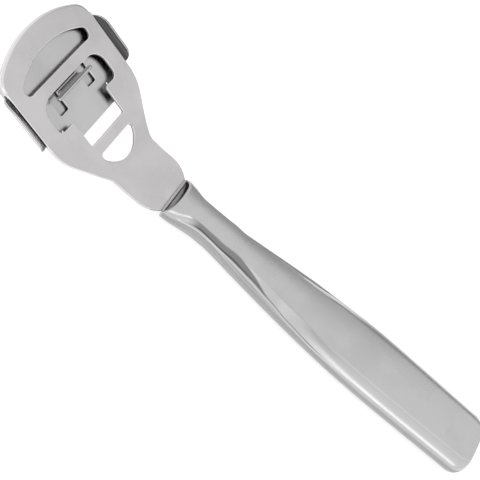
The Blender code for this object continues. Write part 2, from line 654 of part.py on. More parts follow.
# ---------------------------------------------------------------- keeper
def make_keeper(parts, material, frame):
    """Bridge under the neck; the carrier's tongue runs through it."""
    wall = KEEPER_THICKNESS
    top = PLATE_BOTTOM_N - FIT_GAP
    inner = TONGUE_HALF_WIDTH + SEAT_GAP
    bridge_top = FLOOR_BOTTOM_N - SEAT_GAP
    bridge_bottom = bridge_top - wall
    foot = inner + wall + KEEPER_FOOT_REACH
    half = [(inner, top), (inner, bridge_top)]
    outer = [(foot, top), (foot, top - wall), (inner + wall, top - wall),
             (inner + wall, bridge_bottom)]
    right = [(b, n) for b, n in outer]
    section = right + [(-b, n) for b, n in reversed(outer)]
    section += [(-b, n) for b, n in half] + list(reversed(half))
    start = FLAT_START_S - KEEPER_FRONT_S
    form = bmesh.new()
    face = form.faces.new([form.verts.new((start, b, n)) for b, n in section])
    far = bmesh.ops.extrude_face_region(form, geom=[face])["geom"]
    moved = [item for item in far if isinstance(item, bmesh.types.BMVert)]
    bmesh.ops.translate(form, verts=moved, vec=(KEEPER_LENGTH, 0.0, 0.0))
    bmesh.ops.recalc_face_normals(form, faces=form.faces)
    mesh = bpy.data.meshes.new("tongue_keeper")
    form.to_mesh(mesh)
    form.free()
    return add_object("tongue_keeper", mesh, parts, material, frame)


# ---------------------------------------------------------------- handle
def smooth(share):
    share = min(max(share, 0.0), 1.0)
    return share * share * (3.0 - 2.0 * share)


def corner_loss(x, radius):
    """How far a rounded corner of the handle's end has moved in at a station."""
    into = max(x - (HANDLE_LENGTH - radius), 0.0)
    return radius - math.sqrt(max(radius ** 2 - into ** 2, 0.0))


def handle_half_width(x):
    """Half width of the handle: flared mouth, slim grip, broad palm, rounded end."""
    if x < GRIP_END_X:
        share = smooth(x / FLARE_LENGTH)
        wide = MOUTH_HALF_WIDTH + (GRIP_HALF_WIDTH - MOUTH_HALF_WIDTH) * share
    elif x < PALM_X:
        share = math.sin((x - GRIP_END_X) / (PALM_X - GRIP_END_X) * math.pi / 2.0)
        wide = GRIP_HALF_WIDTH + (PALM_HALF_WIDTH - GRIP_HALF_WIDTH) * share
    else:
        share = smooth((x - PALM_X) / (HANDLE_LENGTH - PALM_X))
        wide = PALM_HALF_WIDTH + (HANDLE_END_HALF_WIDTH - PALM_HALF_WIDTH) * share
    return wide - corner_loss(x, HANDLE_END_RADIUS)


def flank_shares(x):
    """Crease, foot of the flute and height of that foot at a station."""
    place = x / HANDLE_LENGTH
    for before, after in zip(FLANK_SHARES, FLANK_SHARES[1:]):
        if place <= after[0]:
            break
    step = smooth((place - before[0]) / (after[0] - before[0]))
    return [low + (high - low) * step for low, high in zip(before[1:], after[1:])]


def upper_arch(x, wide, edge, crown):
    """From the seam up the round band, up the flute's wall, half way across the top."""
    crease, foot, foot_height = flank_shares(x)
    band = []
    for i in range(BAND_STEPS + 1):
        angle = math.pi / 2.0 * i / BAND_STEPS
        across = max(math.cos(angle), 0.0) ** BAND_ROUND_POWER
        up = math.sin(angle) ** BAND_ROUND_POWER
        band.append((wide * (foot + (1.0 - foot) * across), edge * foot_height * up))
    wall = []
    for i in range(1, WALL_STEPS + 1):
        share = i / WALL_STEPS
        high = foot_height + (1.0 - foot_height) * share
        wall.append((wide * (foot + (crease - foot) * share), edge * high))
    face = []
    for i in range(1, FACE_STEPS + 1):
        left = 1.0 - i / FACE_STEPS
        face.append((wide * crease * left, edge + (crown - edge) * (1.0 - left ** 2)))
    return band + wall + face


def lower_arch(wide, deep):
    """From the seam round to the flat underside, and on to its middle."""
    flat = wide * BOTTOM_FLAT_SHARE
    corner = []
    for i in range(CORNER_STEPS + 1):
        angle = math.pi / 2.0 * i / CORNER_STEPS
        across = max(math.cos(angle), 0.0) ** BOTTOM_ROUND_POWER
        down = math.sin(angle) ** BOTTOM_ROUND_POWER
        corner.append((flat + (wide - flat) * across, deep * down))
    return corner + [(0.0, deep)]


def shell_section(x, upper, wall):
    """Arch of one half of the handle at a station, moved in by the wall."""
    loss = corner_loss(x, HANDLE_EDGE_RADIUS)
    wide = handle_half_width(x) - wall
    if upper:
        share = smooth(x / PALM_X)
        top = HANDLE_MOUTH_TOP_Z + (HANDLE_TOP_Z - HANDLE_MOUTH_TOP_Z) * share
        crown = top - loss - wall - HANDLE_SEAM_Z
        half = upper_arch(x, wide, crown - HANDLE_DOME, crown)
    else:
        rise = HANDLE_MOUTH_RISE * (1.0 - smooth(x / HANDLE_FLAT_START))
        deep = HANDLE_SEAM_Z - SEAT_GAP - rise - loss - wall
        half = lower_arch(wide, deep)
    arch = half + [(-y, z) for y, z in reversed(half[:-1])]
    inner_x = x * (HANDLE_LENGTH - wall) / HANDLE_LENGTH
    if upper:
        return [(inner_x, y, HANDLE_SEAM_Z + z) for y, z in arch]
    return [(inner_x, y, HANDLE_SEAM_Z - SEAT_GAP - z) for y, z in arch]


def shell_stations():
    straight = HANDLE_LENGTH - HANDLE_END_RADIUS
    flare = [FLARE_LENGTH * i / FLARE_STEPS for i in range(FLARE_STEPS)]
    body = [FLARE_LENGTH + (straight - FLARE_LENGTH) * i / BODY_STEPS
            for i in range(BODY_STEPS)]
    end = [straight + HANDLE_END_RADIUS * math.sin(math.pi / 2.0 * i / END_STEPS)
           for i in range(END_STEPS + 1)]
    return flare + body + end


def make_shell(name, upper, parts, material, frame):
    """One pressed half of the hollow handle, a loft with an open mouth."""
    form = bmesh.new()
    outer = []
    inner = []
    for x in shell_stations():
        outer.append([form.verts.new(p) for p in shell_section(x, upper, 0.0)])
        inner.append([form.verts.new(p) for p in shell_section(x, upper, HANDLE_WALL)])
    count = len(outer[0]) - 1
    for i in range(len(outer) - 1):
        for j in range(count):
            form.faces.new((outer[i][j], outer[i][j + 1], outer[i + 1][j + 1], outer[i + 1][j]))
            form.faces.new((inner[i][j + 1], inner[i][j], inner[i + 1][j], inner[i + 1][j + 1]))
        for j in (0, count):
            form.faces.new((outer[i][j], inner[i][j], inner[i + 1][j], outer[i + 1][j]))
    for j in range(count):
        form.faces.new((outer[0][j], outer[0][j + 1], inner[0][j + 1], inner[0][j]))
    form.faces.new(outer[-1] + [inner[-1][-1], inner[-1][0]])
    form.faces.new(inner[-1])
    bmesh.ops.recalc_face_normals(form, faces=form.faces)
    mesh = bpy.data.meshes.new(name)
    form.to_mesh(mesh)
    form.free()
    return add_object(name, mesh, parts, material, frame)


def make_plug(parts, material, frame):
    """Block inside the mouth that the tang rests on."""
    top = TANG_TOP_Z - PLATE_THICKNESS - SEAT_GAP
    foot = HANDLE_WALL + HANDLE_MOUTH_RISE + SEAT_GAP
    form = bmesh.new()
    size = Matrix.Diagonal((PLUG_LENGTH, 2.0 * PLUG_HALF_WIDTH, top - foot, 1.0))
    place = Matrix.Translation((PLUG_START + PLUG_LENGTH / 2.0, 0.0, (top + foot) / 2.0))
    bmesh.ops.create_cube(form, size=1.0, matrix=place @ size)
    mesh = bpy.data.meshes.new("tang_block")
    form.to_mesh(mesh)
    form.free()
    return add_object("tang_block", mesh, parts, material, frame)


# ---------------------------------------------------------------- assembly
def main():
    clear_scene()
    parts = new_collection("callus_shaver")
    cutters = new_collection("cutters")
    satin = steel("satin_steel", (0.62, 0.62, 0.62), 0.24)
    bright = steel("bright_steel", (0.70, 0.70, 0.70), 0.16)
    blade_steel = steel("blade_steel", (0.66, 0.66, 0.67), 0.12)
    solder = steel("solder", (0.45, 0.45, 0.44), 0.55)
    mouth = bpy.data.objects.new("mouth_frame", None)
    parts.objects.link(mouth)
    mouth.location = (-REST_X, 0.0, 0.0)
    frame = bpy.data.objects.new("head_frame", None)
    parts.objects.link(frame)
    frame.parent = mouth
    frame.location = (HEAD_FRAME_X, 0.0, HEAD_FRAME_Z)
    frame.rotation_euler = (0.0, NECK_BEND_ANGLE, 0.0)
    make_head_plate(parts, cutters, satin, frame)
    make_carrier(parts, cutters, satin, frame)
    make_sole(parts, bright, frame)
    make_blade(parts, blade_steel, frame)
    make_rivet("toe_rivet_far", 1, parts, bright, frame)
    make_rivet("toe_rivet_near", -1, parts, bright, frame)
    make_keeper(parts, bright, frame)
    make_shell("handle_upper_shell", True, parts, satin, mouth)
    make_shell("handle_lower_shell", False, parts, satin, mouth)
    make_plug(parts, solder, mouth)


main()
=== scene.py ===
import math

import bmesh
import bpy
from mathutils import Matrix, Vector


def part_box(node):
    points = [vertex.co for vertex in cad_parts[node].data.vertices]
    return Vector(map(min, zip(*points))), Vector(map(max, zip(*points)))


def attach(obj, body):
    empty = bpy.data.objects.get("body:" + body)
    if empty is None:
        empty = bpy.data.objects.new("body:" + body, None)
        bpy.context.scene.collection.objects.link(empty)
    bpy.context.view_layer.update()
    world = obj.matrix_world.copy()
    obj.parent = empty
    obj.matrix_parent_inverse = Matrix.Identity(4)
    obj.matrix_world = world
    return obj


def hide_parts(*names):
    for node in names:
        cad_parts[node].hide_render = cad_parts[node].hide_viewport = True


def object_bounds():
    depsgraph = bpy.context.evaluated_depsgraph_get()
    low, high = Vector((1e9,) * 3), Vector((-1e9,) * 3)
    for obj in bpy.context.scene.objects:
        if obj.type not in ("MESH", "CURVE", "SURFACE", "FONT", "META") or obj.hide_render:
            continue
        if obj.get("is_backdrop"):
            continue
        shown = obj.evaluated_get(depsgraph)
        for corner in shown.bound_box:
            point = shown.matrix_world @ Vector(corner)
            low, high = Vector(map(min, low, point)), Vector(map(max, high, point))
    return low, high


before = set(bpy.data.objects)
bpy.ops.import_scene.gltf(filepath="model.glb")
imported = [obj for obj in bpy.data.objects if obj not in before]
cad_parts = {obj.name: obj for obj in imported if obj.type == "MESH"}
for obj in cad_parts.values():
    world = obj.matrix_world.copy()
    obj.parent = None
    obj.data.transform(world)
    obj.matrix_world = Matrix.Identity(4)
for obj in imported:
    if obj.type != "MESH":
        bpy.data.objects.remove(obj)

# %% [markdown]
# # A pressed steel callus shaver
#
# The real tool is sheet steel: a head plate with three windows and a rolled front lip,
# bent once at the neck, on a hollow handle pressed from two shells.  Under the head a
# carrier with two finger wings slides in the rolled lip and holds the blade.
#
# The loaded frame gives the true sizes.  This file dresses it: finer pressings with
# rounded edges, brushed and polished steel, a pale studio and the camera.

cad_low, cad_high = (list(corner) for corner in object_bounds())
scene = bpy.context.scene
MM = 0.001
print("frame box, mm:", [round((b - a) / MM, 1) for a, b in zip(cad_low, cad_high)])

# %% [markdown]
# ## The camera
#
# The photograph looks down on the tool from its near side, with the handle running to
# the lower right.  A camera is three turns and a place: it points along `forward`, and
# `right` is turned about that line until the handle slants as it should.  The lens is
# long for the distance, so the handle tapers only a little.

# %% The camera
ELEVATION = math.radians(53.294)
AZIMUTH = math.radians(13.686)
ROLL = math.radians(51.5)
LENS = 81.9
SENSOR = 36.0
NEAREST = 10.0 * MM
MOUTH_X = -31.0 * MM
TANG_TOP = 4.9 * MM
CAMERA_SHIFT = (-19.967 * MM, -13.629 * MM, 334.005 * MM)


def camera_axes():
    forward = Vector((math.sin(AZIMUTH) * math.cos(ELEVATION),
                      math.cos(AZIMUTH) * math.cos(ELEVATION), -math.sin(ELEVATION)))
    level = Vector((math.cos(AZIMUTH), -math.sin(AZIMUTH), 0.0))
    drop = forward.cross(level)
    right = level * math.cos(ROLL) - drop * math.sin(ROLL)
    down = level * math.sin(ROLL) + drop * math.cos(ROLL)
    return right, down, forward


def make_camera():
    right, down, forward = camera_axes()
    target = Vector((MOUTH_X, 0.0, TANG_TOP))
    across, along, away = CAMERA_SHIFT
    place = target - right * across - down * along - forward * away
    data = bpy.data.cameras.new("camera")
    data.lens = LENS
    data.sensor_width = SENSOR
    data.clip_start = NEAREST
    made = bpy.data.objects.new("camera", data)
    turn = Matrix((right, -down, -forward)).transposed()
    made.matrix_world = Matrix.Translation(place) @ turn.to_4x4()
    scene.collection.objects.link(made)
    scene.camera = made
    return made


camera = make_camera()
print("camera at, mm:", [round(c / MM, 1) for c in camera.location])

# %% [markdown]
# ## The studio
#
# Steel shows what is round it, so the studio matters more than the lamps.  The tool lies
# in a light tent that is white all round, so its flat faces turn an even grey and only
# the hollows turn dark.  The floor glows a little for the rays that the camera sees, so
# that it is white there and still keeps the tool's shadow.

# %% The tent and the floor
FLOOR_SIZE = 4.0
FLOOR_DROP = 0.2 * MM
FLOOR_TONE = 0.62
FLOOR_GLOW = 0.68
TENT_LEVEL = 0.90
MATT = 0.9
WHITE = (1.0, 1.0, 1.0)
BLACK = (0.0, 0.0, 0.0)


def maths(tree, operation, first, second=None):
    """A Math node; numbers are set on the sockets and outputs are linked."""
    node = tree.nodes.new("ShaderNodeMath")
    node.operation = operation
    for socket, value in zip(node.inputs, (first, second)):
        if value is None:
            continue
        if isinstance(value, (int, float)):
            socket.default_value = value
        else:
            tree.links.new(value, socket)
    return node.outputs[0]


def blend_colour(tree, factor, first, second):
    """A colour mix; each colour is a tuple or an output."""
    node = tree.nodes.new("ShaderNodeMix")
    node.data_type = "RGBA"
    for socket, value in ((node.inputs[0], factor), (node.inputs[6], first),
                          (node.inputs[7], second)):
        if isinstance(value, tuple):
            socket.default_value = (*value, 1.0)
        elif isinstance(value, (int, float)):
            socket.default_value = value
        else:
            tree.links.new(value, socket)
    return node.outputs[2]


def clear_rays(tree):
    """One for the rays that show the white: seen, mirrored or let through."""
    paths = tree.nodes.new("ShaderNodeLightPath")
    seen = maths(tree, "MAXIMUM", paths.outputs["Is Camera Ray"],
                 paths.outputs["Is Transmission Ray"])
    return maths(tree, "MAXIMUM", seen, paths.outputs["Is Glossy Ray"])


def make_world():
    world = bpy.data.worlds.new("studio")
    world.use_nodes = True
    tree = world.node_tree
    tent = (TENT_LEVEL, TENT_LEVEL, TENT_LEVEL)
    colour = blend_colour(tree, clear_rays(tree), tent, WHITE)
    tree.links.new(colour, tree.nodes["Background"].inputs["Color"])
    tree.nodes["Background"].inputs["Strength"].default_value = 1.0
    scene.world = world


def make_floor():
    form = bmesh.new()
    bmesh.ops.create_grid(form, x_segments=1, y_segments=1, size=FLOOR_SIZE / 2.0)
    mesh = bpy.data.meshes.new("floor")
    form.to_mesh(mesh)
    form.free()
    mesh.transform(Matrix.Translation((0.0, 0.0, -FLOOR_DROP)))
    floor = bpy.data.objects.new("floor", mesh)
    scene.collection.objects.link(floor)
    paint = bpy.data.materials.new("floor_paint")
    paint.use_nodes = True
    tree = paint.node_tree
    shader = tree.nodes["Principled BSDF"]
    shader.inputs["Base Color"].default_value = (FLOOR_TONE, FLOOR_TONE, FLOOR_TONE, 1.0)
    shader.inputs["Roughness"].default_value = MATT
    shader.inputs["Emission Color"].default_value = (*WHITE, 1.0)
    tree.links.new(maths(tree, "MULTIPLY", clear_rays(tree), FLOOR_GLOW),
                   shader.inputs["Emission Strength"])
    mesh.materials.append(paint)
    floor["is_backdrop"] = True
    return floor


make_world()
make_floor()
print("studio: a tent and a floor", FLOOR_SIZE, "m wide")

# %% [markdown]
# ### Cards and a lamp
#
# Two grey cards stand behind the tool and darken its far edges, and one soft lamp in
# front lights the near side.  The cards are white to the camera itself, so a low view
# shows no grey wall.

# %% Cards and a lamp


def make_card(name, centre, width, height, grey):
    """An upright card, grey in the tool's reflections and white to the camera."""
    form = bmesh.new()
    bmesh.ops.create_grid(form, x_segments=1, y_segments=1, size=0.5)
    mesh = bpy.data.meshes.new(name)
    form.to_mesh(mesh)
    form.free()
    turn = (-Vector(centre)).to_track_quat("Z", "Y").to_matrix().to_4x4()
    mesh.transform(Matrix.Translation(centre) @ turn
                   @ Matrix.Diagonal((width, height, 1.0, 1.0)))
    paint = bpy.data.materials.new(name)
    paint.use_nodes = True
    tree = paint.node_tree
    shader = tree.nodes["Principled BSDF"]
    seen = tree.nodes.new("ShaderNodeLightPath").outputs["Is Camera Ray"]
    tone = blend_colour(tree, seen, (grey, grey, grey), BLACK)
    tree.links.new(tone, shader.inputs["Base Color"])
    shader.inputs["Roughness"].default_value = MATT
    shader.inputs["Emission Color"].default_value = (*WHITE, 1.0)
    tree.links.new(seen, shader.inputs["Emission Strength"])
    mesh.materials.append(paint)
    card = bpy.data.objects.new(name, mesh)
    scene.collection.objects.link(card)
    card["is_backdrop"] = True
    return card


def make_lamp(name, place, size, watts):
    """A soft rectangular lamp aimed at the tool."""
    data = bpy.data.lights.new(name, "AREA")
    data.shape = "RECTANGLE"
    data.size, data.size_y = size
    data.energy = watts
    lamp = bpy.data.objects.new(name, data)
    lamp.location = place
    lamp.rotation_euler = (-Vector(place)).to_track_quat("-Z", "Y").to_euler()
    scene.collection.objects.link(lamp)
    return lamp


make_card("tall_card", centre=(0.08, 0.90, 0.40), width=0.66, height=0.80, grey=0.66)
make_card("low_card", centre=(0.10, 0.86, 0.15), width=2.2, height=0.30, grey=0.56)
make_lamp("front_box", place=(0.12, -0.75, 0.50), size=(0.9, 0.28), watts=0.82)
scene.view_settings.view_transform = "Standard"
print("studio: two cards and", len(bpy.data.lights), "lamp")

# %% [markdown]
# ## What steel looks like close up
#
# Sheet steel is rubbed along its length before it is pressed, so its gloss is drawn out
# in fine lines.  Handling adds cloudy smudges that dull it a little, and edges are polished
# by the tumbling barrel and carry a painted highlight.  Close gaps get painted shade.  Four
# small node groups give these, and every steel below uses them with its own values.

# %% Grain and smudges
SMUDGE_BELOW, SMUDGE_ABOVE = 0.12, 0.16


def new_group(name, inputs, outputs):
    """A shader node group with named numbers for its inputs and outputs."""
    tree = bpy.data.node_groups.new(name, "ShaderNodeTree")
    for label, value in inputs.items():
        socket = tree.interface.new_socket(label, in_out="INPUT", socket_type="NodeSocketFloat")
        socket.default_value = value
    for label in outputs:
        tree.interface.new_socket(label, in_out="OUTPUT", socket_type="NodeSocketFloat")
    return tree, tree.nodes.new("NodeGroupInput"), tree.nodes.new("NodeGroupOutput")


def noise(tree, vector, scale, detail, roughness):
    node = tree.nodes.new("ShaderNodeTexNoise")
    tree.links.new(vector, node.inputs["Vector"])
    for name, value in (("Scale", scale), ("Detail", detail), ("Roughness", roughness)):
        if isinstance(value, (int, float)):
            node.inputs[name].default_value = value
        else:
            tree.links.new(value, node.inputs[name])
    return node.outputs[0]


def brushed_grain_group():
    """Fine lines along the sheet; Turn lays them along a part that is tilted up."""
    tree, given, out = new_group(
        "brushed_grain", {"Lines per Metre": 5000.0, "Stretch": 30.0, "Turn": 0.0},
        ["Height", "Mask"])
    place = tree.nodes.new("ShaderNodeTexCoord")
    turned = tree.nodes.new("ShaderNodeVectorRotate")
    turned.rotation_type = "Y_AXIS"
    tree.links.new(place.outputs["Object"], turned.inputs["Vector"])
    tree.links.new(given.outputs["Turn"], turned.inputs["Angle"])
    across = given.outputs["Lines per Metre"]
    along = maths(tree, "DIVIDE", across, given.outputs["Stretch"])
    scale = tree.nodes.new("ShaderNodeCombineXYZ")
    for name, value in (("X", along), ("Y", across), ("Z", across)):
        tree.links.new(value, scale.inputs[name])
    drawn = tree.nodes.new("ShaderNodeVectorMath")
    drawn.operation = "MULTIPLY"
    tree.links.new(turned.outputs[0], drawn.inputs[0])
    tree.links.new(scale.outputs[0], drawn.inputs[1])
    lines = noise(tree, drawn.outputs[0], scale=1.0, detail=3.0, roughness=0.6)
    broad = noise(tree, drawn.outputs[0], scale=0.17, detail=2.0, roughness=0.5)
    tree.links.new(lines, out.inputs["Height"])
    tree.links.new(maths(tree, "MULTIPLY", lines, broad), out.inputs["Mask"])
    return tree


def smudge_group():
    """Soft clouds; Cover is the level of the noise above which they show."""
    tree, given, out = new_group(
        "handling_smudges", {"Clouds per Metre": 70.0, "Cover": 0.5}, ["Mask"])
    place = tree.nodes.new("ShaderNodeTexCoord")
    clouds = noise(tree, place.outputs["Object"], given.outputs["Clouds per Metre"],
                   detail=4.0, roughness=0.55)
    high = maths(tree, "ADD", given.outputs["Cover"], SMUDGE_ABOVE)
    low = maths(tree, "SUBTRACT", given.outputs["Cover"], SMUDGE_BELOW)
    ramp = tree.nodes.new("ShaderNodeMapRange")
    ramp.interpolation_type = "SMOOTHSTEP"
    tree.links.new(clouds, ramp.inputs["Value"])
    tree.links.new(low, ramp.inputs["From Min"])
    tree.links.new(high, ramp.inputs["From Max"])
    tree.links.new(ramp.outputs[0], out.inputs["Mask"])
    return tree


GRAIN = brushed_grain_group()
SMUDGES = smudge_group()
print("node groups:", [group.name for group in (GRAIN, SMUDGES)])

# %% [markdown]
# ### Polish and shade
#
# The form of a piece tells most of where it is bright or dark: pointed edges are
# polished and get a painted highlight, and close gaps get painted shade.  Two mesh
# attributes correct this where the form alone doesn't tell: `painted_highlight` adds
# painted highlight, and `painted_shade` adds painted shade or, below nought, takes it away.

# %% Polished and highlighted edges and shaded gaps
GAP_REACH = 3.0 * MM
GAP_SAMPLES = 8


def edge_polish_highlight_group():
    """Polish and a painted highlight where the form is pointed, and a painted highlight where
    the mesh is marked `painted_highlight`.
    """
    tree, given, out = new_group("edge_polish_and_highlight", {"Start": 0.53, "End": 0.60}, ["Mask"])
    shape = tree.nodes.new("ShaderNodeNewGeometry")
    ramp = tree.nodes.new("ShaderNodeMapRange")
    tree.links.new(shape.outputs["Pointiness"], ramp.inputs["Value"])
    tree.links.new(given.outputs["Start"], ramp.inputs["From Min"])
    tree.links.new(given.outputs["End"], ramp.inputs["From Max"])
    marked = tree.nodes.new("ShaderNodeAttribute")
    marked.attribute_name = "painted_highlight"
    both = maths(tree, "MAXIMUM", ramp.outputs[0], marked.outputs["Fac"])
    tree.links.new(both, out.inputs["Mask"])
    return tree


def gap_shade_group():
    """Painted shade in close gaps; a mesh's own `painted_shade` value adds to it or takes away.
    """
    tree, given, out = new_group("painted_gap_shade", {"Open": 0.70, "Closed": 0.34}, ["Mask"])
    near = tree.nodes.new("ShaderNodeAmbientOcclusion")
    near.samples = GAP_SAMPLES
    near.inputs["Distance"].default_value = GAP_REACH
    ramp = tree.nodes.new("ShaderNodeMapRange")
    tree.links.new(near.outputs["AO"], ramp.inputs["Value"])
    tree.links.new(given.outputs["Open"], ramp.inputs["From Min"])
    tree.links.new(given.outputs["Closed"], ramp.inputs["From Max"])
    marked = tree.nodes.new("ShaderNodeAttribute")
    marked.attribute_name = "painted_shade"
    both = maths(tree, "ADD", ramp.outputs[0], marked.outputs["Fac"])
    kept = maths(tree, "MINIMUM", maths(tree, "MAXIMUM", both, 0.0), 1.0)
    tree.links.new(kept, out.inputs["Mask"])
    return tree


EDGES = edge_polish_highlight_group()
GAPS = gap_shade_group()
print("node groups:", [group.name for group in (EDGES, GAPS)])

# %% [markdown]
# ## The steels
#
# One function makes each steel from the four groups.  The base colour of a metal is
# what it reflects, so the tone of the tool is set here and not by the lamps: the sheets
# give back about half of the light, and a polished edge with its painted highlight gives
# back more.

# %% The steels
SMUDGED, POLISH_HIGHLIGHT_TONE, BRIGHTEST, SHADED = 0.94, 1.45, 0.95, 0.13
POLISH_HIGHLIGHT_SHARE = 0.7
POINT_RANGE = 0.07
NO_POINT = 0.90                 # more pointed than any edge, so the form adds no polish or painted highlight
GRAIN_DEPTH = 0.02 * MM


def place_group(tree, group, **values):
    node = tree.nodes.new("ShaderNodeGroup")
    node.node_tree = group
    for name, value in values.items():
        node.inputs[name].default_value = value
    return node


def scaled(colour, factor):
    return tuple(min(channel * factor, BRIGHTEST) for channel in colour)


def masked(tree, mask, strength, under, over):
    """The colour over shows through the mask, as far as strength lets it."""
    return blend_colour(tree, maths(tree, "MULTIPLY", mask, strength), under, over)


def steel(name, colour, roughness, grain=0.05, turn=0.0, smudge=0.05, gap_shade_strength=0.85, point=0.53):
    """Grain is the depth of the brushed lines, smudge the roughness of the clouds,
    gap_shade_strength the strength of the painted shade in close gaps, and point how pointed an
    edge has to be to count as polished and get a painted highlight."""
    made = bpy.data.materials.new(name)
    made.use_nodes = True
    tree = made.node_tree
    shader = tree.nodes["Principled BSDF"]
    shader.inputs["Metallic"].default_value = 1.0
    brushed = place_group(tree, GRAIN, Turn=turn)
    cloudy = place_group(tree, SMUDGES)
    rims = place_group(tree, EDGES, Start=point, End=point + POINT_RANGE)
    gaps = place_group(tree, GAPS)
    lines, clouds = brushed.outputs["Mask"], cloudy.outputs["Mask"]
    smudge_and_shade = scaled(colour, SMUDGED)
    tone = blend_colour(tree, clouds, colour, smudge_and_shade)
    tone = masked(tree, lines, grain, tone, smudge_and_shade)
    tone = masked(tree, rims.outputs["Mask"], POLISH_HIGHLIGHT_SHARE, tone, scaled(colour, POLISH_HIGHLIGHT_TONE))
    tone = masked(tree, gaps.outputs["Mask"], gap_shade_strength, tone, scaled(colour, SHADED))
    tree.links.new(tone, shader.inputs["Base Color"])
    rough = maths(tree, "ADD", maths(tree, "MULTIPLY", clouds, smudge), roughness)
    rough = maths(tree, "ADD", rough, maths(tree, "MULTIPLY", lines, grain))
    tree.links.new(rough, shader.inputs["Roughness"])
    bump = tree.nodes.new("ShaderNodeBump")
    bump.inputs["Strength"].default_value = grain
    bump.inputs["Distance"].default_value = GRAIN_DEPTH
    tree.links.new(brushed.outputs["Height"], bump.inputs["Height"])
    tree.links.new(bump.outputs[0], shader.inputs["Normal"])
    return made


HEAD_TILT = math.radians(21.0)
SATIN = steel("satin_steel", (0.545, 0.540, 0.542), 0.24, grain=0.08)
HEAD_SATIN = steel("head_steel", (0.605, 0.590, 0.592), 0.22, grain=0.06, turn=HEAD_TILT,
                   point=NO_POINT)
# The carrier, the sole and the blade lie under the head plate, and their base colours are set
# darker than the head's partly as painted shade.
SHEET = steel("carrier_steel", (0.545, 0.540, 0.540), 0.20, grain=0.06, turn=HEAD_TILT,
              gap_shade_strength=1.0, point=NO_POINT)
SOLE_STEEL = steel("sole_steel", (0.51, 0.505, 0.50), 0.18, turn=HEAD_TILT, point=NO_POINT)
BLADE_STEEL = steel("blade_steel", (0.48, 0.48, 0.485), 0.16, grain=0.08, turn=HEAD_TILT,
                    point=NO_POINT)
FILLER = steel("filler_steel", (0.50, 0.49, 0.48), 0.34, smudge=0.10)
# The edge steel of the rounds is far brighter than the sheets: polish and a painted highlight.
POLISH_HIGHLIGHT_STEEL = steel("polish_highlight_steel", (0.84, 0.835, 0.83), 0.14, grain=0.02, smudge=0.03, gap_shade_strength=0.5)
print("steels:", [m.name for m in bpy.data.materials if m.name.endswith("steel")])

# %% [markdown]
# ## Places on the head
#
# The head is bent up from the handle, so its own measures are easier to work in: `s`
# runs from the handle's mouth to the tip along the sheet, `b` across it, and `n` up
# from its top face.  The flat head begins where the bend of the neck ends.

# %% From the world to the head
BEND_START_S, BEND_RADIUS = 10.6 * MM, 38.8 * MM
HEAD_START_S = BEND_START_S + BEND_RADIUS * HEAD_TILT
HEAD_ORIGIN = Vector((MOUTH_X - BEND_START_S - BEND_RADIUS * math.sin(HEAD_TILT), 0.0,
                      TANG_TOP + BEND_RADIUS * (1.0 - math.cos(HEAD_TILT))))
HEAD_UP = Vector((math.sin(HEAD_TILT), 0.0, math.cos(HEAD_TILT)))
HEAD_BACK = Vector((math.cos(HEAD_TILT), 0.0, -math.sin(HEAD_TILT)))


def on_head(point):
    """The place (s, b, n) of a point of the world."""
    from_origin = point - HEAD_ORIGIN
    return HEAD_START_S - from_origin.dot(HEAD_BACK), point.y, from_origin.dot(HEAD_UP)


tip = Vector((cad_low[0], 0.0, cad_high[2]))
print("tip of the head at s, mm:", round(on_head(tip)[0] / MM, 1))

# %% [markdown]
# ## Pressings with rounded edges
#
# A punch leaves every edge of a sheet with a small round, and that round is what
# catches the light along a window.  The frame's solids have sharp edges and loose
# triangles.  A copy is welded, its flat areas are dissolved into single faces, and a
# Bevel modifier rounds the long sharp edges.  Weighted normals keep the flats flat.

# %% Copying and softening a solid
WELD = 0.002 * MM
SAME_FLAT, SHARP_EDGE, SHARP_SHADE = (math.radians(a) for a in (0.4, 38.0, 50.0))
ROUND_SEGMENTS = 2
FLAT_WEIGHT = 60


def tidy_form(node):
    """A welded copy of a frame node, with each flat area as one face."""
    form = bmesh.new()
    form.from_mesh(node.data)
    bmesh.ops.remove_doubles(form, verts=form.verts, dist=WELD)
    bmesh.ops.dissolve_degenerate(form, edges=form.edges, dist=WELD)
    bmesh.ops.dissolve_limit(form, angle_limit=SAME_FLAT, verts=form.verts, edges=form.edges)
    return form


def cut(form, place, normal):
    """Splits the faces along a plane, so that both sides can be marked apart."""
    bmesh.ops.bisect_plane(form, geom=form.verts[:] + form.edges[:] + form.faces[:],
                           plane_co=place, plane_no=normal)


def weigh_edges(form, share):
    """Marks the edges that the Bevel modifier rounds; share gives how much, 0 to 1."""
    weight = form.edges.layers.float.new("bevel_weight_edge")
    for edge in form.edges:
        if len(edge.link_faces) != 2 or edge.calc_face_angle(0.0) < SHARP_EDGE:
            continue
        middle = (edge.verts[0].co + edge.verts[1].co) / 2.0
        edge[weight] = share(middle)


def softened(form, node_name, piece_name, material, body, width):
    """A piece with rounded edges, made from a form, that stands for a frame node."""
    mesh = bpy.data.meshes.new(piece_name)
    form.to_mesh(mesh)
    form.free()
    mesh.materials.append(material)
    mesh.materials.append(POLISH_HIGHLIGHT_STEEL)
    piece = bpy.data.objects.new(piece_name, mesh)
    scene.collection.objects.link(piece)
    round_off = piece.modifiers.new("round_off", "BEVEL")
    round_off.width = width
    round_off.segments = ROUND_SEGMENTS
    round_off.limit_method = "WEIGHT"
    round_off.use_clamp_overlap = False
    round_off.material = 1
    graph = bpy.context.evaluated_depsgraph_get()
    made = bpy.data.meshes.new_from_object(piece.evaluated_get(graph))
    piece.modifiers.clear()
    piece.data = made
    made.name = piece_name
    made.shade_smooth()
    made.set_sharp_from_angle(angle=SHARP_SHADE)
    keep_flat = piece.modifiers.new("keep_flat", "WEIGHTED_NORMAL")
    keep_flat.keep_sharp = True
    keep_flat.weight = FLAT_WEIGHT
    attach(piece, body)
    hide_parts(node_name)
    return piece
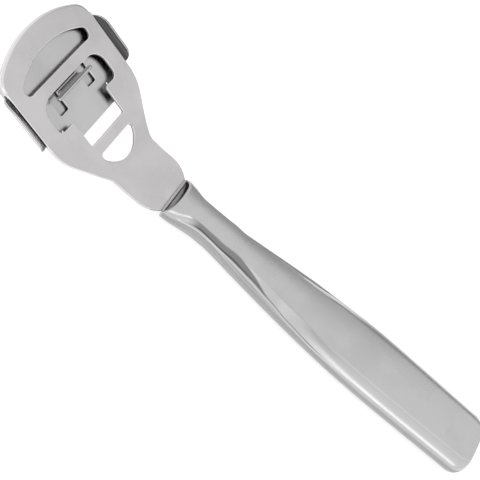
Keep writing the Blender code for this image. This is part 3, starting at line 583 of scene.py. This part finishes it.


# %% [markdown]
# ### The head plate
#
# The sheared walls of the windows get painted shade, and so do the tang inside the handle
# and the sheet at its mouth.  The slope of the rolled lip in front gets a painted
# highlight.  The underside faces the carrier across a narrow gap, and a value below nought
# takes the painted gap shade off there.
# The edges stay sharp inside the hem, where there is no room for a round.

# %% The head plate
HEAD_ROUND = 0.17 * MM
TANG_HIDDEN, TANG_SHADED = 0.3 * MM, -0.9 * MM          # measured from the mouth
TANG_INSIDE_SHADE, MOUTH_SHADE, WINDOW_WALL_SHADE, HEAD_UNDER_UNSHADE = 0.7, 0.3, 0.60, -0.8
LIP_HIGHLIGHT, LIP_SLOPES = 0.8, (0.1, 0.95)
LIP_S, SHOULDER_S = 57.0 * MM, 38.0 * MM
WINDOW_HALF, BOW_HALF = 16.6 * MM, 9.4 * MM
HEM_S, HEM_TOP = 50.0 * MM, -1.0 * MM
LIP_END_S, LIP_END_B = (55.0 * MM, 60.0 * MM), 20.2 * MM
NECK_X, NECK_ROUND = -52.0 * MM, 0.35
UPRIGHT = 0.5                                           # a wall is less turned up than this


def head_marks(face):
    """How much painted shade and painted highlight a face of the head plate gets."""
    place = face.calc_center_median()
    s, b, n = on_head(place)
    up = face.normal.dot(HEAD_UP)
    window = WINDOW_HALF if s > SHOULDER_S else BOW_HALF
    if place.x > MOUTH_X + TANG_HIDDEN:
        return TANG_INSIDE_SHADE, 0.0
    if place.x > MOUTH_X + TANG_SHADED:
        return MOUTH_SHADE, 0.0
    if s > LIP_S:
        return 0.0, LIP_HIGHLIGHT if LIP_SLOPES[0] < up < LIP_SLOPES[1] else 0.0
    if up < -UPRIGHT:
        return HEAD_UNDER_UNSHADE, 0.0
    return WINDOW_WALL_SHADE if up < UPRIGHT and abs(b) < window else 0.0, 0.0


def head_rounding(place):
    """How much of the full rounding an edge of the head plate gets."""
    s, b, n = on_head(place)
    lip_end = LIP_END_S[0] < s < LIP_END_S[1] and abs(b) > LIP_END_B
    if lip_end or s > HEM_S and n < HEM_TOP:
        return 0.0
    return NECK_ROUND if place.x > NECK_X else 1.0


def make_head():
    form = tidy_form(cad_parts["head_plate"])
    for x in (TANG_SHADED, TANG_HIDDEN):
        cut(form, (MOUTH_X + x, 0.0, 0.0), (1.0, 0.0, 0.0))
    smudge_and_shade = form.faces.layers.float.new("painted_shade")
    painted_highlight = form.faces.layers.float.new("painted_highlight")
    for face in form.faces:
        face[smudge_and_shade], face[painted_highlight] = head_marks(face)
    weigh_edges(form, head_rounding)
    head = softened(form, "head_plate", "head_pressing", HEAD_SATIN, "handle", HEAD_ROUND)
    return head


print("head plate:", len(make_head().data.polygons), "faces")

# %% [markdown]
# ### The carrier
#
# The inside of the far finger wing, the front of the catch and the rear walls of the
# floor get painted shade.  The near wing and the sides of the floor lie close to the
# plate, and a value below nought takes the painted gap shade off them.  The floor reaches a
# little further back beside its tongue, so that hardly any light shows through at the
# corners of the window, and it still clears the keeper's legs when it is pushed back.

# %% The carrier
CARRIER_ROUND = 0.12 * MM
CUTS = [b * MM for b in (12.53, 12.59, 17.6, 19.15, 19.3)]
REAR_BAND, REAR_MARGIN = (11.4 * MM, 19.2 * MM), 0.05 * MM
KEEPER_SIDE = 12.56 * MM
REACH_BESIDE_LEG, REACH_OUTSIDE = 0.36 * MM, 1.4 * MM
STRAIGHT_B = 14.0 * MM
WING_B, WING_FOOT, WING_DEEP = 19.2 * MM, -2.4 * MM, -0.4 * MM
FAR_WING_SHADE, FAR_WING_DEEP_SHADE, NEAR_WING_UNSHADE = 0.90, 0.98, -1.0
INWARD = 0.2
REAR_S, REAR_WALL_SHADE = 39.0 * MM, 0.9
FLOOR_SIDE_B, FLOOR_SIDE_UNSHADE = 17.6 * MM, -0.8
CATCH_S, CATCH_HALF, CATCH_FOOT = (42.5 * MM, 49.5 * MM), 8.8 * MM, -2.2 * MM
CATCH_FRONT_SHADE, CATCH_BACK_SHADE, CATCH_FACING = 0.60, 0.15, -0.3
SHARP_REAR_S, SHARP_REAR_B = 40.5 * MM, 10.5 * MM
SHARP_TOE_S, SHARP_TOE_B = 53.0 * MM, 19.4 * MM


def carrier_shade(face):
    """How much painted shade a face of the carrier gets."""
    s, b, n = on_head(face.calc_center_median())
    inward = -face.normal.y * math.copysign(1.0, b)
    upright = abs(face.normal.dot(HEAD_UP)) < UPRIGHT
    if abs(b) > WING_B and inward > INWARD and n > WING_FOOT:
        far_wing = FAR_WING_DEEP_SHADE if n < WING_DEEP else FAR_WING_SHADE
        return far_wing if b > 0.0 else NEAR_WING_UNSHADE
    if s < REAR_S and abs(b) > REAR_BAND[0] and upright:
        return REAR_WALL_SHADE
    if abs(b) > FLOOR_SIDE_B and not upright:
        return FLOOR_SIDE_UNSHADE
    if n > CATCH_FOOT and abs(b) < CATCH_HALF and CATCH_S[0] < s < CATCH_S[1]:
        return CATCH_FRONT_SHADE if face.normal.dot(HEAD_BACK) < CATCH_FACING else CATCH_BACK_SHADE
    return 0.0


def carrier_rounding(place):
    """How much of the full rounding an edge of the carrier gets."""
    s, b, n = on_head(place)
    rear = s < SHARP_REAR_S and abs(b) > SHARP_REAR_B
    toe = s > SHARP_TOE_S and abs(b) < SHARP_TOE_B
    return 0.0 if rear or toe else 1.0


def lengthen_floor(form):
    """Draws the rear edge of the floor back, less beside the keeper's legs."""
    rear = min(on_head(vert.co)[0] for vert in form.verts if abs(vert.co.y) > STRAIGHT_B)
    for vert in form.verts:
        s, b, n = on_head(vert.co)
        if abs(s - rear) < REAR_MARGIN and REAR_BAND[0] < abs(b) < REAR_BAND[1]:
            reach = REACH_OUTSIDE if abs(b) > KEEPER_SIDE else REACH_BESIDE_LEG
            vert.co += HEAD_BACK * reach
    form.normal_update()


def make_carrier():
    form = tidy_form(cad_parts["blade_carrier"])
    for side in (1, -1):
        for across in CUTS:
            cut(form, (0.0, side * across, 0.0), (0.0, 1.0, 0.0))
    lengthen_floor(form)
    smudge_and_shade = form.faces.layers.float.new("painted_shade")
    for face in form.faces:
        face[smudge_and_shade] = carrier_shade(face)
    weigh_edges(form, carrier_rounding)
    carrier = softened(form, "blade_carrier", "carrier_pressing", SHEET, "carrier",
                       CARRIER_ROUND)
    return carrier


print("carrier:", len(make_carrier().data.polygons), "faces")

# %% [markdown]
# ## The hollow handle
#
# The handle is two pressed shells.  Its outline flares at the mouth, narrows to the
# grip and widens to the palm, and a flute is pressed into each flank behind the mouth.
# Each station along the handle has its own arch, so the surface is a loft: a ring of
# points at each station and a face between each pair of neighbours.
#
# A row of FLANK_SHARES holds a place along the handle as a share of its length, then the
# crease and the foot of the flute as shares of the half width, and the foot's height as a
# share of the crease's.

# %% Sizes and outline of the handle
HANDLE_LENGTH = 126.6 * MM
WALL = 0.8 * MM
SEAM = 3.6 * MM
MOUTH_TOP, PALM_TOP, DOME = 8.3 * MM, 7.9 * MM, 0.4 * MM
MOUTH_RISE, FLAT_START = 0.7 * MM, 9.0 * MM
MOUTH_LEAN, LEAN_LENGTH = 2.3 * MM, 9.0 * MM
END_CORNER, END_EDGE = 5.2 * MM, 1.8 * MM
MOUTH_HALF, GRIP_HALF, PALM_HALF, END_HALF = 7.9 * MM, 5.9 * MM, 11.9 * MM, 11.4 * MM
FLARE_LENGTH, GRIP_END, PALM_X = 13.0 * MM, 18.0 * MM, 85.0 * MM
PALM_ROUND_START, PALM_ROUND_LENGTH = 0.40, 0.24
FLANK_SHARES = ((0.00, 0.55, 0.80, 0.50), (0.05, 0.62, 0.75, 0.58),
                (0.10, 0.71, 0.76, 0.60), (0.15, 0.73, 0.79, 0.55),
                (0.21, 0.59, 0.68, 0.48), (0.27, 0.585, 0.70, 0.46),
                (0.33, 0.60, 0.79, 0.45), (0.41, 0.62, 0.88, 0.40),
                (0.52, 0.69, 0.93, 0.32), (0.63, 0.66, 0.96, 0.22),
                (1.00, 0.64, 0.97, 0.18))


def ease(share):
    """Nought below nought and one above one, with a smooth way between."""
    share = min(max(share, 0.0), 1.0)
    return share * share * (3.0 - 2.0 * share)


def corner_loss(x, radius):
    """How much a round corner at the far end takes off at x."""
    into = max(x - (HANDLE_LENGTH - radius), 0.0)
    return radius - math.sqrt(max(radius ** 2 - into ** 2, 0.0))


def half_width(x):
    """Half the handle's width, x from its mouth."""
    if x < GRIP_END:
        wide = MOUTH_HALF + (GRIP_HALF - MOUTH_HALF) * ease(x / FLARE_LENGTH)
    elif x < PALM_X:
        share = math.sin((x - GRIP_END) / (PALM_X - GRIP_END) * math.pi / 2.0)
        wide = GRIP_HALF + (PALM_HALF - GRIP_HALF) * share
    else:
        share = ease((x - PALM_X) / (HANDLE_LENGTH - PALM_X))
        wide = PALM_HALF + (END_HALF - PALM_HALF) * share
    return wide - corner_loss(x, END_CORNER)


def flank(x):
    """Crease, foot of the flute and its height, eased between the given places."""
    place = x / HANDLE_LENGTH
    for before, after in zip(FLANK_SHARES, FLANK_SHARES[1:]):
        if place <= after[0]:
            break
    step = ease((place - before[0]) / (after[0] - before[0]))
    return [low + (high - low) * step for low, high in zip(before[1:], after[1:])]


def round_share(x):
    """One at the mouth and in the palm, where the flank is round, and none between."""
    mouth = 1.0 - ease(x / FLARE_LENGTH)
    palm = ease((x / HANDLE_LENGTH - PALM_ROUND_START) / PALM_ROUND_LENGTH)
    return max(mouth, palm)


print("handle half widths, mm:", [round(half_width(x * MM) / MM, 1) for x in (0, 18, 60, 120)])

# %% [markdown]
# ### The arch of each shell
#
# Half an arch is drawn from the seam up to the middle and then mirrored.  It has three
# runs: the round side band, the wall of the flute up to the crease, and the gentle dome
# of the top.  At the mouth and in the palm the band and the wall melt into one round
# flank.

# %% Arches of the two shells
BAND_STEPS, WALL_STEPS, DOME_STEPS = 10, 16, 12
LOWER_STEPS, FLAT_STEPS = 12, 4
BAND_POWER, LOWER_POWER = 0.8, 0.9
ROUND_TURN = math.radians(74.0)
FLAT_SHARE = 0.6
SEAM_GAP = 0.08 * MM


def flank_curve(x, wide, edge):
    """Points from the seam to the crease."""
    crease, foot, foot_height = flank(x)
    rounded = round_share(x)
    steps = BAND_STEPS + WALL_STEPS
    points = []
    for i in range(steps + 1):
        if i <= BAND_STEPS:
            angle = math.pi / 2.0 * i / BAND_STEPS
            across = max(math.cos(angle), 0.0) ** BAND_POWER
            y = wide * (foot + (1.0 - foot) * across)
            z = edge * foot_height * math.sin(angle) ** BAND_POWER
        else:
            share = (i - BAND_STEPS) / WALL_STEPS
            y = wide * (foot + (crease - foot) * share)
            z = edge * (foot_height + (1.0 - foot_height) * share)
        angle = ROUND_TURN * i / steps
        inward = (1.0 - math.cos(angle)) / (1.0 - math.cos(ROUND_TURN))
        round_y = wide * (1.0 - (1.0 - crease) * inward)
        round_z = edge * math.sin(angle) / math.sin(ROUND_TURN)
        points.append((y + (round_y - y) * rounded, z + (round_z - z) * rounded))
    return points


def upper_arch(x, wall):
    """Points (y, z) of the upper shell from seam to seam, a wall's thickness inwards."""
    loss = corner_loss(x, END_EDGE)
    wide = half_width(x) - wall
    top = MOUTH_TOP + (PALM_TOP - MOUTH_TOP) * ease(x / PALM_X)
    crown = top - loss - wall - SEAM
    edge = crown - DOME
    half = flank_curve(x, wide, edge)
    crease = half[-1][0]
    for i in range(1, DOME_STEPS + 1):
        left = 1.0 - i / DOME_STEPS
        half.append((crease * left, edge + (crown - edge) * (1.0 - left ** 2)))
    arch = half + [(-y, z) for y, z in reversed(half[:-1])]
    return [(y, SEAM + z) for y, z in arch]


def lower_arch(x, wall):
    """The same of the lower shell, whose middle is the flat that the tool rests on."""
    loss = corner_loss(x, END_EDGE)
    wide = half_width(x) - wall
    lift = MOUTH_RISE * (1.0 - ease(x / FLAT_START))
    deep = SEAM - SEAM_GAP - lift - loss - wall
    flat = wide * FLAT_SHARE
    half = []
    for i in range(LOWER_STEPS + 1):
        angle = math.pi / 2.0 * i / LOWER_STEPS
        across = max(math.cos(angle), 0.0) ** LOWER_POWER
        half.append((flat + (wide - flat) * across, deep * math.sin(angle) ** LOWER_POWER))
    half += [(flat * (1.0 - i / FLAT_STEPS), deep) for i in range(1, FLAT_STEPS + 1)]
    arch = half + [(-y, z) for y, z in reversed(half[:-1])]
    return [(y, SEAM - SEAM_GAP - z) for y, z in arch]


def mouth_lean(x, z):
    """How far the mouth of the upper shell leans back above the tang."""
    high = max(z - TANG_TOP, 0.0) / (MOUTH_TOP - TANG_TOP)
    return MOUTH_LEAN * high * (1.0 - ease(x / LEAN_LENGTH))


print("points in an arch:", len(upper_arch(0.0, 0.0)), "and", len(lower_arch(0.0, 0.0)))

# %% [markdown]
# ### Painted shade and highlights of the flanks
#
# The flute gets painted shade, marked in the mesh as `painted_shade`, and the far flank,
# which faces away from the lamp, gets a little painted shade too.  On the near side the
# foot of the flute, the palm and its crease get painted highlights, marked as
# `painted_highlight`.
#
# A place up the flank is a share of the flute's wall: minus in the side band, nought at
# the foot and one at the crease.  A run along the handle is four lengths in millimetres
# from the mouth: where it starts, how long it takes to come up, where it stops and how
# long it takes to fade.  A rise is the first two of these alone, and a top or a foot is a
# place up the flank with the share that it takes to fade.

# %% Painted shade and highlights of the flanks
FAR_RUN = (6.0, 8.0, 70.0, 45.0)
FAR_BAND_RISE = (40.0, 10.0)
FAR_SHADE, FAR_BAND_SHADE = 0.06, 0.16
FAR_BAND_TOP = 0.75
FAR_TOP = (1.30, 0.5)
FLUTE_SHADE = 0.84
FLUTE_RISE, FLUTE_FALL, FLUTE_TAIL = (7.0, 5.0), (27.0, 16.0), (64.0, 10.0)
FLUTE_FOOT, FLUTE_EDGE = (-0.08, 0.08), 0.10
FLUTE_HIGH, TAIL_HIGH = 1.02, 0.09
SHEEN_SHADE = 0.36
SHEEN_RUN = (38.0, 8.0, 58.0, 18.0)
SHEEN_FOOT, SHEEN_TOP = (-0.05, 0.1), (1.05, 0.1)
BAND_SHADE, BAND_TOP = 0.46, (-0.12, 0.20)
FOOT_HIGHLIGHT, FOOT_PLACE, FOOT_SPREAD = 0.80, -0.12, 0.13
GRIP_RUN = (12.0, 6.0, 50.0, 14.0)
PALM_HIGHLIGHT, PALM_PLACE, PALM_SPREAD = 0.30, 0.35, 0.75
PALM_RISE = (55.0, 20.0)
LINE_HIGHLIGHT, LINE_SPREAD = 0.45, 0.03
LINE_RISE = (60.0, 12.0)


def flank_share(j, count):
    """The share of the flute's wall at point j of an arch of count points."""
    return (min(j, count - 1 - j) - BAND_STEPS) / WALL_STEPS


def rise(x, start, length):
    return ease((x / MM - start) / length)


def run(x, start, length, stop, fade):
    return rise(x, start, length) * (1.0 - rise(x, stop, fade))


def above(share, limit, fade):
    return ease((share - limit) / fade)


def below(share, limit, fade):
    return ease((limit - share) / fade)


def near(share, place, spread):
    return 1.0 - ease(abs(share - place) / spread)


def far_shade(x, share):
    band = FAR_BAND_SHADE * rise(x, *FAR_BAND_RISE) if share < FAR_BAND_TOP else 0.0
    return (FAR_SHADE + band) * run(x, *FAR_RUN) * below(share, *FAR_TOP)


def flute_shade(x, share):
    """Painted shade from the foot up to a line that sinks as the flute runs out in the palm."""
    high = FLUTE_HIGH * (1.0 - rise(x, *FLUTE_FALL)) + TAIL_HIGH * (1.0 - rise(x, *FLUTE_TAIL))
    wall = above(share, *FLUTE_FOOT) * below(share, high, FLUTE_EDGE)
    return FLUTE_SHADE * rise(x, *FLUTE_RISE) * wall


def flank_shade_value(x, j, count):
    """How much painted shade a point of the outer arch gets; the far side comes first in an
    arch.
    """
    share = flank_share(j, count)
    if j < count // 2:
        return far_shade(x, share)
    sheen = run(x, *SHEEN_RUN) * above(share, *SHEEN_FOOT) * below(share, *SHEEN_TOP)
    return max(flute_shade(x, share), SHEEN_SHADE * sheen, BAND_SHADE * below(share, *BAND_TOP))


def flank_highlight_value(x, j, count):
    """How much painted highlight a point of the near flank gets."""
    share = flank_share(j, count)
    if j < count // 2 or share > 1.0:
        return 0.0
    foot = FOOT_HIGHLIGHT * run(x, *GRIP_RUN) * near(share, FOOT_PLACE, FOOT_SPREAD)
    palm = PALM_HIGHLIGHT * rise(x, *PALM_RISE) * near(share, PALM_PLACE, PALM_SPREAD)
    on_line = abs(share - 1.0) < LINE_SPREAD
    return max(foot, palm, LINE_HIGHLIGHT * rise(x, *LINE_RISE) if on_line else 0.0)


arch_points = len(upper_arch(0.0, 0.0))
near_foot = arch_points - 1 - BAND_STEPS
print("worn at the foot of the flute:",
      [round(flank_highlight_value(x * MM, near_foot, arch_points), 2) for x in (10, 30, 60)])

# %% [markdown]
# ### The rings of a shell
#
# A ring is the arch at one station.  The rings of the inner face run from the far end to
# the mouth.  The sheet's edge at the mouth is round, so the rings there follow a half
# circle, and the rings of the outer face run back.

# %% Stations and rings
FLARE_STATIONS, PALM_STATIONS, END_STATIONS = 44, 120, 16
LIP_STEPS = 8


def stations():
    """Places along the handle, close together where its outline turns."""
    lip = WALL / 2.0
    flare = [lip + (GRIP_END - lip) * i / FLARE_STATIONS for i in range(FLARE_STATIONS)]
    straight = HANDLE_LENGTH - END_CORNER
    palm = [GRIP_END + (straight - GRIP_END) * i / PALM_STATIONS for i in range(PALM_STATIONS)]
    end = [straight + END_CORNER * math.sin(math.pi / 2.0 * i / END_STATIONS)
           for i in range(END_STATIONS + 1)]
    return flare + palm + end


def inner_rings(arch):
    inner_share = (HANDLE_LENGTH - WALL) / HANDLE_LENGTH
    return [[(x * inner_share, y, z) for y, z in arch(x, WALL)] for x in reversed(stations())]


def lip_rings(arch):
    """Half a circle from the inner face to the outer one."""
    lip = WALL / 2.0
    rings = []
    for i in range(1, LIP_STEPS):
        angle = math.pi * (1.0 - i / LIP_STEPS)
        x = lip - lip * math.sin(angle)
        rings.append([(x, y, z) for y, z in arch(x, lip - lip * math.cos(angle))])
    return rings


def outer_rings(arch):
    return [[(x, y, z) for y, z in arch(x, 0.0)] for x in stations()]


print("stations:", len(stations()), "and rings at the lip:", len(lip_rings(upper_arch)))

# %% [markdown]
# ### Lofting a shell
#
# Neighbouring rings are joined by faces.  The wall is closed at the far end, and the
# seam is a hairline where the two shells were joined and ground smooth.

# %% The two shells
# The inside of the hollow shells and the outside of the lower shell get painted shade.
HOLLOW_SHADE, LOWER_SHELL_SHADE = 0.50, 0.35
SHELL_SHARP = math.radians(32.0)


def shell_marks(kind, is_upper, x, j, count):
    """How much painted shade and painted highlight a point of a ring gets; kind is inside, lip
    or outside.
    """
    if kind == "inside":
        return HOLLOW_SHADE, 0.0
    if kind == "lip":
        return 0.0, 0.0
    if not is_upper:
        return LOWER_SHELL_SHADE, 0.0
    return flank_shade_value(x, j, count), flank_highlight_value(x, j, count)


def close_shell(form, loops):
    """Closes both seams between the inner and outer face, and the far end."""
    count = len(loops)
    for j in (0, -1):
        for i in range(count // 2):
            k = count - 1 - i
            if k - i == 2:
                form.faces.new((loops[i][j], loops[i + 1][j], loops[k][j]))
            elif k - i > 2:
                form.faces.new((loops[i][j], loops[i + 1][j], loops[k - 1][j], loops[k][j]))
    form.faces.new(loops[0])
    form.faces.new(loops[-1])
    form.faces.new((loops[0][0], loops[0][-1], loops[-1][-1], loops[-1][0]))


def shell(name, arch, is_upper):
    """Rings run inside from the far end to the mouth, round the lip, and back outside."""
    form = bmesh.new()
    smudge_and_shade = form.verts.layers.float.new("painted_shade")
    painted_highlight = form.verts.layers.float.new("painted_highlight")
    loops = []
    for kind, rings in (("inside", inner_rings(arch)), ("lip", lip_rings(arch)),
                        ("outside", outer_rings(arch))):
        for ring in rings:
            loop = []
            for j, (x, y, z) in enumerate(ring):
                lean = mouth_lean(x, z) if is_upper else 0.0
                vert = form.verts.new((MOUTH_X + x + lean, y, z))
                vert[smudge_and_shade], vert[painted_highlight] = shell_marks(kind, is_upper, x, j, len(ring))
                loop.append(vert)
            loops.append(loop)
    for one, two in zip(loops, loops[1:]):
        for j in range(len(one) - 1):
            form.faces.new((one[j], one[j + 1], two[j + 1], two[j]))
    close_shell(form, loops)
    bmesh.ops.recalc_face_normals(form, faces=form.faces)
    mesh = bpy.data.meshes.new(name)
    form.to_mesh(mesh)
    form.free()
    mesh.shade_smooth()
    mesh.set_sharp_from_angle(angle=SHELL_SHARP)
    mesh.materials.append(SATIN)
    made = bpy.data.objects.new(name, mesh)
    scene.collection.objects.link(made)
    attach(made, "handle")
    return made


upper = shell("upper_shell_pressing", upper_arch, True)
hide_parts("handle_upper_shell")
lower = shell("lower_shell_pressing", lower_arch, False)
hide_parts("handle_lower_shell")
print("shells:", len(upper.data.polygons), "and", len(lower.data.polygons), "faces")

# %% [markdown]
# ## The pieces that keep the frame's shape
#
# The sole, the blade and the keeper are plain pieces whose solids are right as they
# are.  They only need their steel.

# %% Steel for the carried-over pieces
PLAIN = {"sole_plate": SOLE_STEEL, "blade": BLADE_STEEL, "tongue_keeper": SHEET}
for node_name, material in PLAIN.items():
    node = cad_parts[node_name]
    node.data.materials.clear()
    node.data.materials.append(material)
print("carried over:", sorted(PLAIN))

# %% [markdown]
# ## The braze at the mouth
#
# The tang is brazed to a block inside the mouth.  The braze runs out in front as a
# rounded bead across the tang, with the dark hollow of the handle behind it.  The bead
# is a row of rings along a line, pulled in to a point at both ends.

# %% The tang block and its bead of braze
BEAD_RADIUS = 0.62 * MM
BEAD_HALF_LENGTH = 7.2 * MM
BEAD_STEPS, BEAD_SIDES = 48, 14
BEAD_WAVES = ((0.05, 9.0, 0.0), (0.03, 23.0, 1.0))      # height, count and start of each
BEAD_TIP, BEAD_TAPER = 0.02, 0.35
BEAD_HEIGHT, BEAD_LIFT = 0.7, 0.1 * MM
PIECE_SHARP = math.radians(40.0)


def make_braze():
    form = bmesh.new()
    form.from_mesh(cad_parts["tang_block"].data)
    bmesh.ops.remove_doubles(form, verts=form.verts, dist=WELD)
    loops = []
    for i in range(BEAD_STEPS + 1):
        angle = math.pi * i / BEAD_STEPS
        y = -BEAD_HALF_LENGTH * math.cos(angle)
        swell = sum(high * math.sin(turns * angle + start) for high, turns, start in BEAD_WAVES)
        size = BEAD_RADIUS * max(math.sin(angle), BEAD_TIP) ** BEAD_TAPER * (1.0 + swell)
        ring = []
        for j in range(BEAD_SIDES):
            turn = 2.0 * math.pi * j / BEAD_SIDES
            z = TANG_TOP + BEAD_LIFT + BEAD_HEIGHT * size * math.sin(turn)
            ring.append(form.verts.new((MOUTH_X + size * math.cos(turn), y, z)))
        loops.append(ring)
    for one, two in zip(loops, loops[1:]):
        for j in range(BEAD_SIDES):
            k = (j + 1) % BEAD_SIDES
            form.faces.new((one[j], one[k], two[k], two[j]))
    form.faces.new(loops[0])
    form.faces.new(loops[-1])
    bmesh.ops.recalc_face_normals(form, faces=form.faces)
    mesh = bpy.data.meshes.new("braze")
    form.to_mesh(mesh)
    form.free()
    mesh.shade_smooth()
    mesh.set_sharp_from_angle(angle=PIECE_SHARP)
    mesh.materials.append(FILLER)
    piece = bpy.data.objects.new("braze", mesh)
    scene.collection.objects.link(piece)
    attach(piece, "handle")
    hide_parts("tang_block")
    return piece


print("braze:", len(make_braze().data.polygons), "faces")

# %% [markdown]
# ## The rivets
#
# Two flush rivets tie the sole to the carrier.  They are the same piece twice, so a
# Geometry Nodes tree makes them: points on a line, a short cylinder on each point, and
# Realize Instances so that they end as plain faces.

# %% Two rivets from one tree
RIVET_SPACING, RIVET_RADIUS, RIVET_HEIGHT = 32.0 * MM, 1.2 * MM, 1.25 * MM
RIVET_SIDES = 40


def rivet_tree():
    tree = bpy.data.node_groups.new("rivet_pair", "GeometryNodeTree")
    sockets = {}
    for label, value in (("Spacing", RIVET_SPACING), ("Radius", RIVET_RADIUS),
                         ("Height", RIVET_HEIGHT)):
        socket = tree.interface.new_socket(label, in_out="INPUT", socket_type="NodeSocketFloat")
        socket.default_value = value
        sockets[label] = socket.identifier
    steel_socket = tree.interface.new_socket("Steel", in_out="INPUT",
                                             socket_type="NodeSocketMaterial")
    sockets["Steel"] = steel_socket.identifier
    tree.interface.new_socket("Geometry", in_out="OUTPUT", socket_type="NodeSocketGeometry")
    given = tree.nodes.new("NodeGroupInput")
    out = tree.nodes.new("NodeGroupOutput")
    half = tree.nodes.new("ShaderNodeMath")
    half.operation = "MULTIPLY"
    half.inputs[1].default_value = -0.5
    tree.links.new(given.outputs["Spacing"], half.inputs[0])
    start = tree.nodes.new("ShaderNodeCombineXYZ")
    step = tree.nodes.new("ShaderNodeCombineXYZ")
    tree.links.new(half.outputs[0], start.inputs["Y"])
    tree.links.new(given.outputs["Spacing"], step.inputs["Y"])
    line = tree.nodes.new("GeometryNodeMeshLine")
    line.inputs["Count"].default_value = 2
    tree.links.new(start.outputs[0], line.inputs["Start Location"])
    tree.links.new(step.outputs[0], line.inputs["Offset"])
    body = tree.nodes.new("GeometryNodeMeshCylinder")
    body.inputs["Vertices"].default_value = RIVET_SIDES
    tree.links.new(given.outputs["Radius"], body.inputs["Radius"])
    tree.links.new(given.outputs["Height"], body.inputs["Depth"])
    put = tree.nodes.new("GeometryNodeInstanceOnPoints")
    tree.links.new(line.outputs[0], put.inputs["Points"])
    tree.links.new(body.outputs["Mesh"], put.inputs["Instance"])
    real = tree.nodes.new("GeometryNodeRealizeInstances")
    tree.links.new(put.outputs[0], real.inputs[0])
    paint = tree.nodes.new("GeometryNodeSetMaterial")
    tree.links.new(real.outputs[0], paint.inputs["Geometry"])
    tree.links.new(given.outputs["Steel"], paint.inputs["Material"])
    tree.links.new(paint.outputs[0], out.inputs["Geometry"])
    return tree, sockets


def make_rivets():
    """Puts the pair where the frame has its rivets, and gives back their spacing."""
    low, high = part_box("toe_rivet_near")
    far_low, far_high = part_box("toe_rivet_far")
    centre = (Vector(low) + Vector(high) + Vector(far_low) + Vector(far_high)) / 4.0
    spacing = (far_low[1] + far_high[1] - low[1] - high[1]) / 2.0
    tree, sockets = rivet_tree()
    blank = bpy.data.objects.new("rivet_blank", bpy.data.meshes.new("rivet_blank"))
    scene.collection.objects.link(blank)
    maker = blank.modifiers.new("rivets", "NODES")
    maker.node_group = tree
    maker[sockets["Spacing"]] = spacing
    maker[sockets["Steel"]] = SOLE_STEEL
    graph = bpy.context.evaluated_depsgraph_get()
    mesh = bpy.data.meshes.new_from_object(blank.evaluated_get(graph))
    bpy.data.objects.remove(blank)
    mesh.name = "rivet_pair"
    mesh.transform(Matrix.Translation(centre) @ Matrix.Rotation(HEAD_TILT, 4, "Y"))
    mesh.shade_smooth()
    mesh.set_sharp_from_angle(angle=PIECE_SHARP)
    pair = bpy.data.objects.new("rivet_pair", mesh)
    scene.collection.objects.link(pair)
    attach(pair, "carrier")
    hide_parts("toe_rivet_near", "toe_rivet_far")
    return spacing


print("rivets", round(make_rivets() / MM, 1), "mm apart")
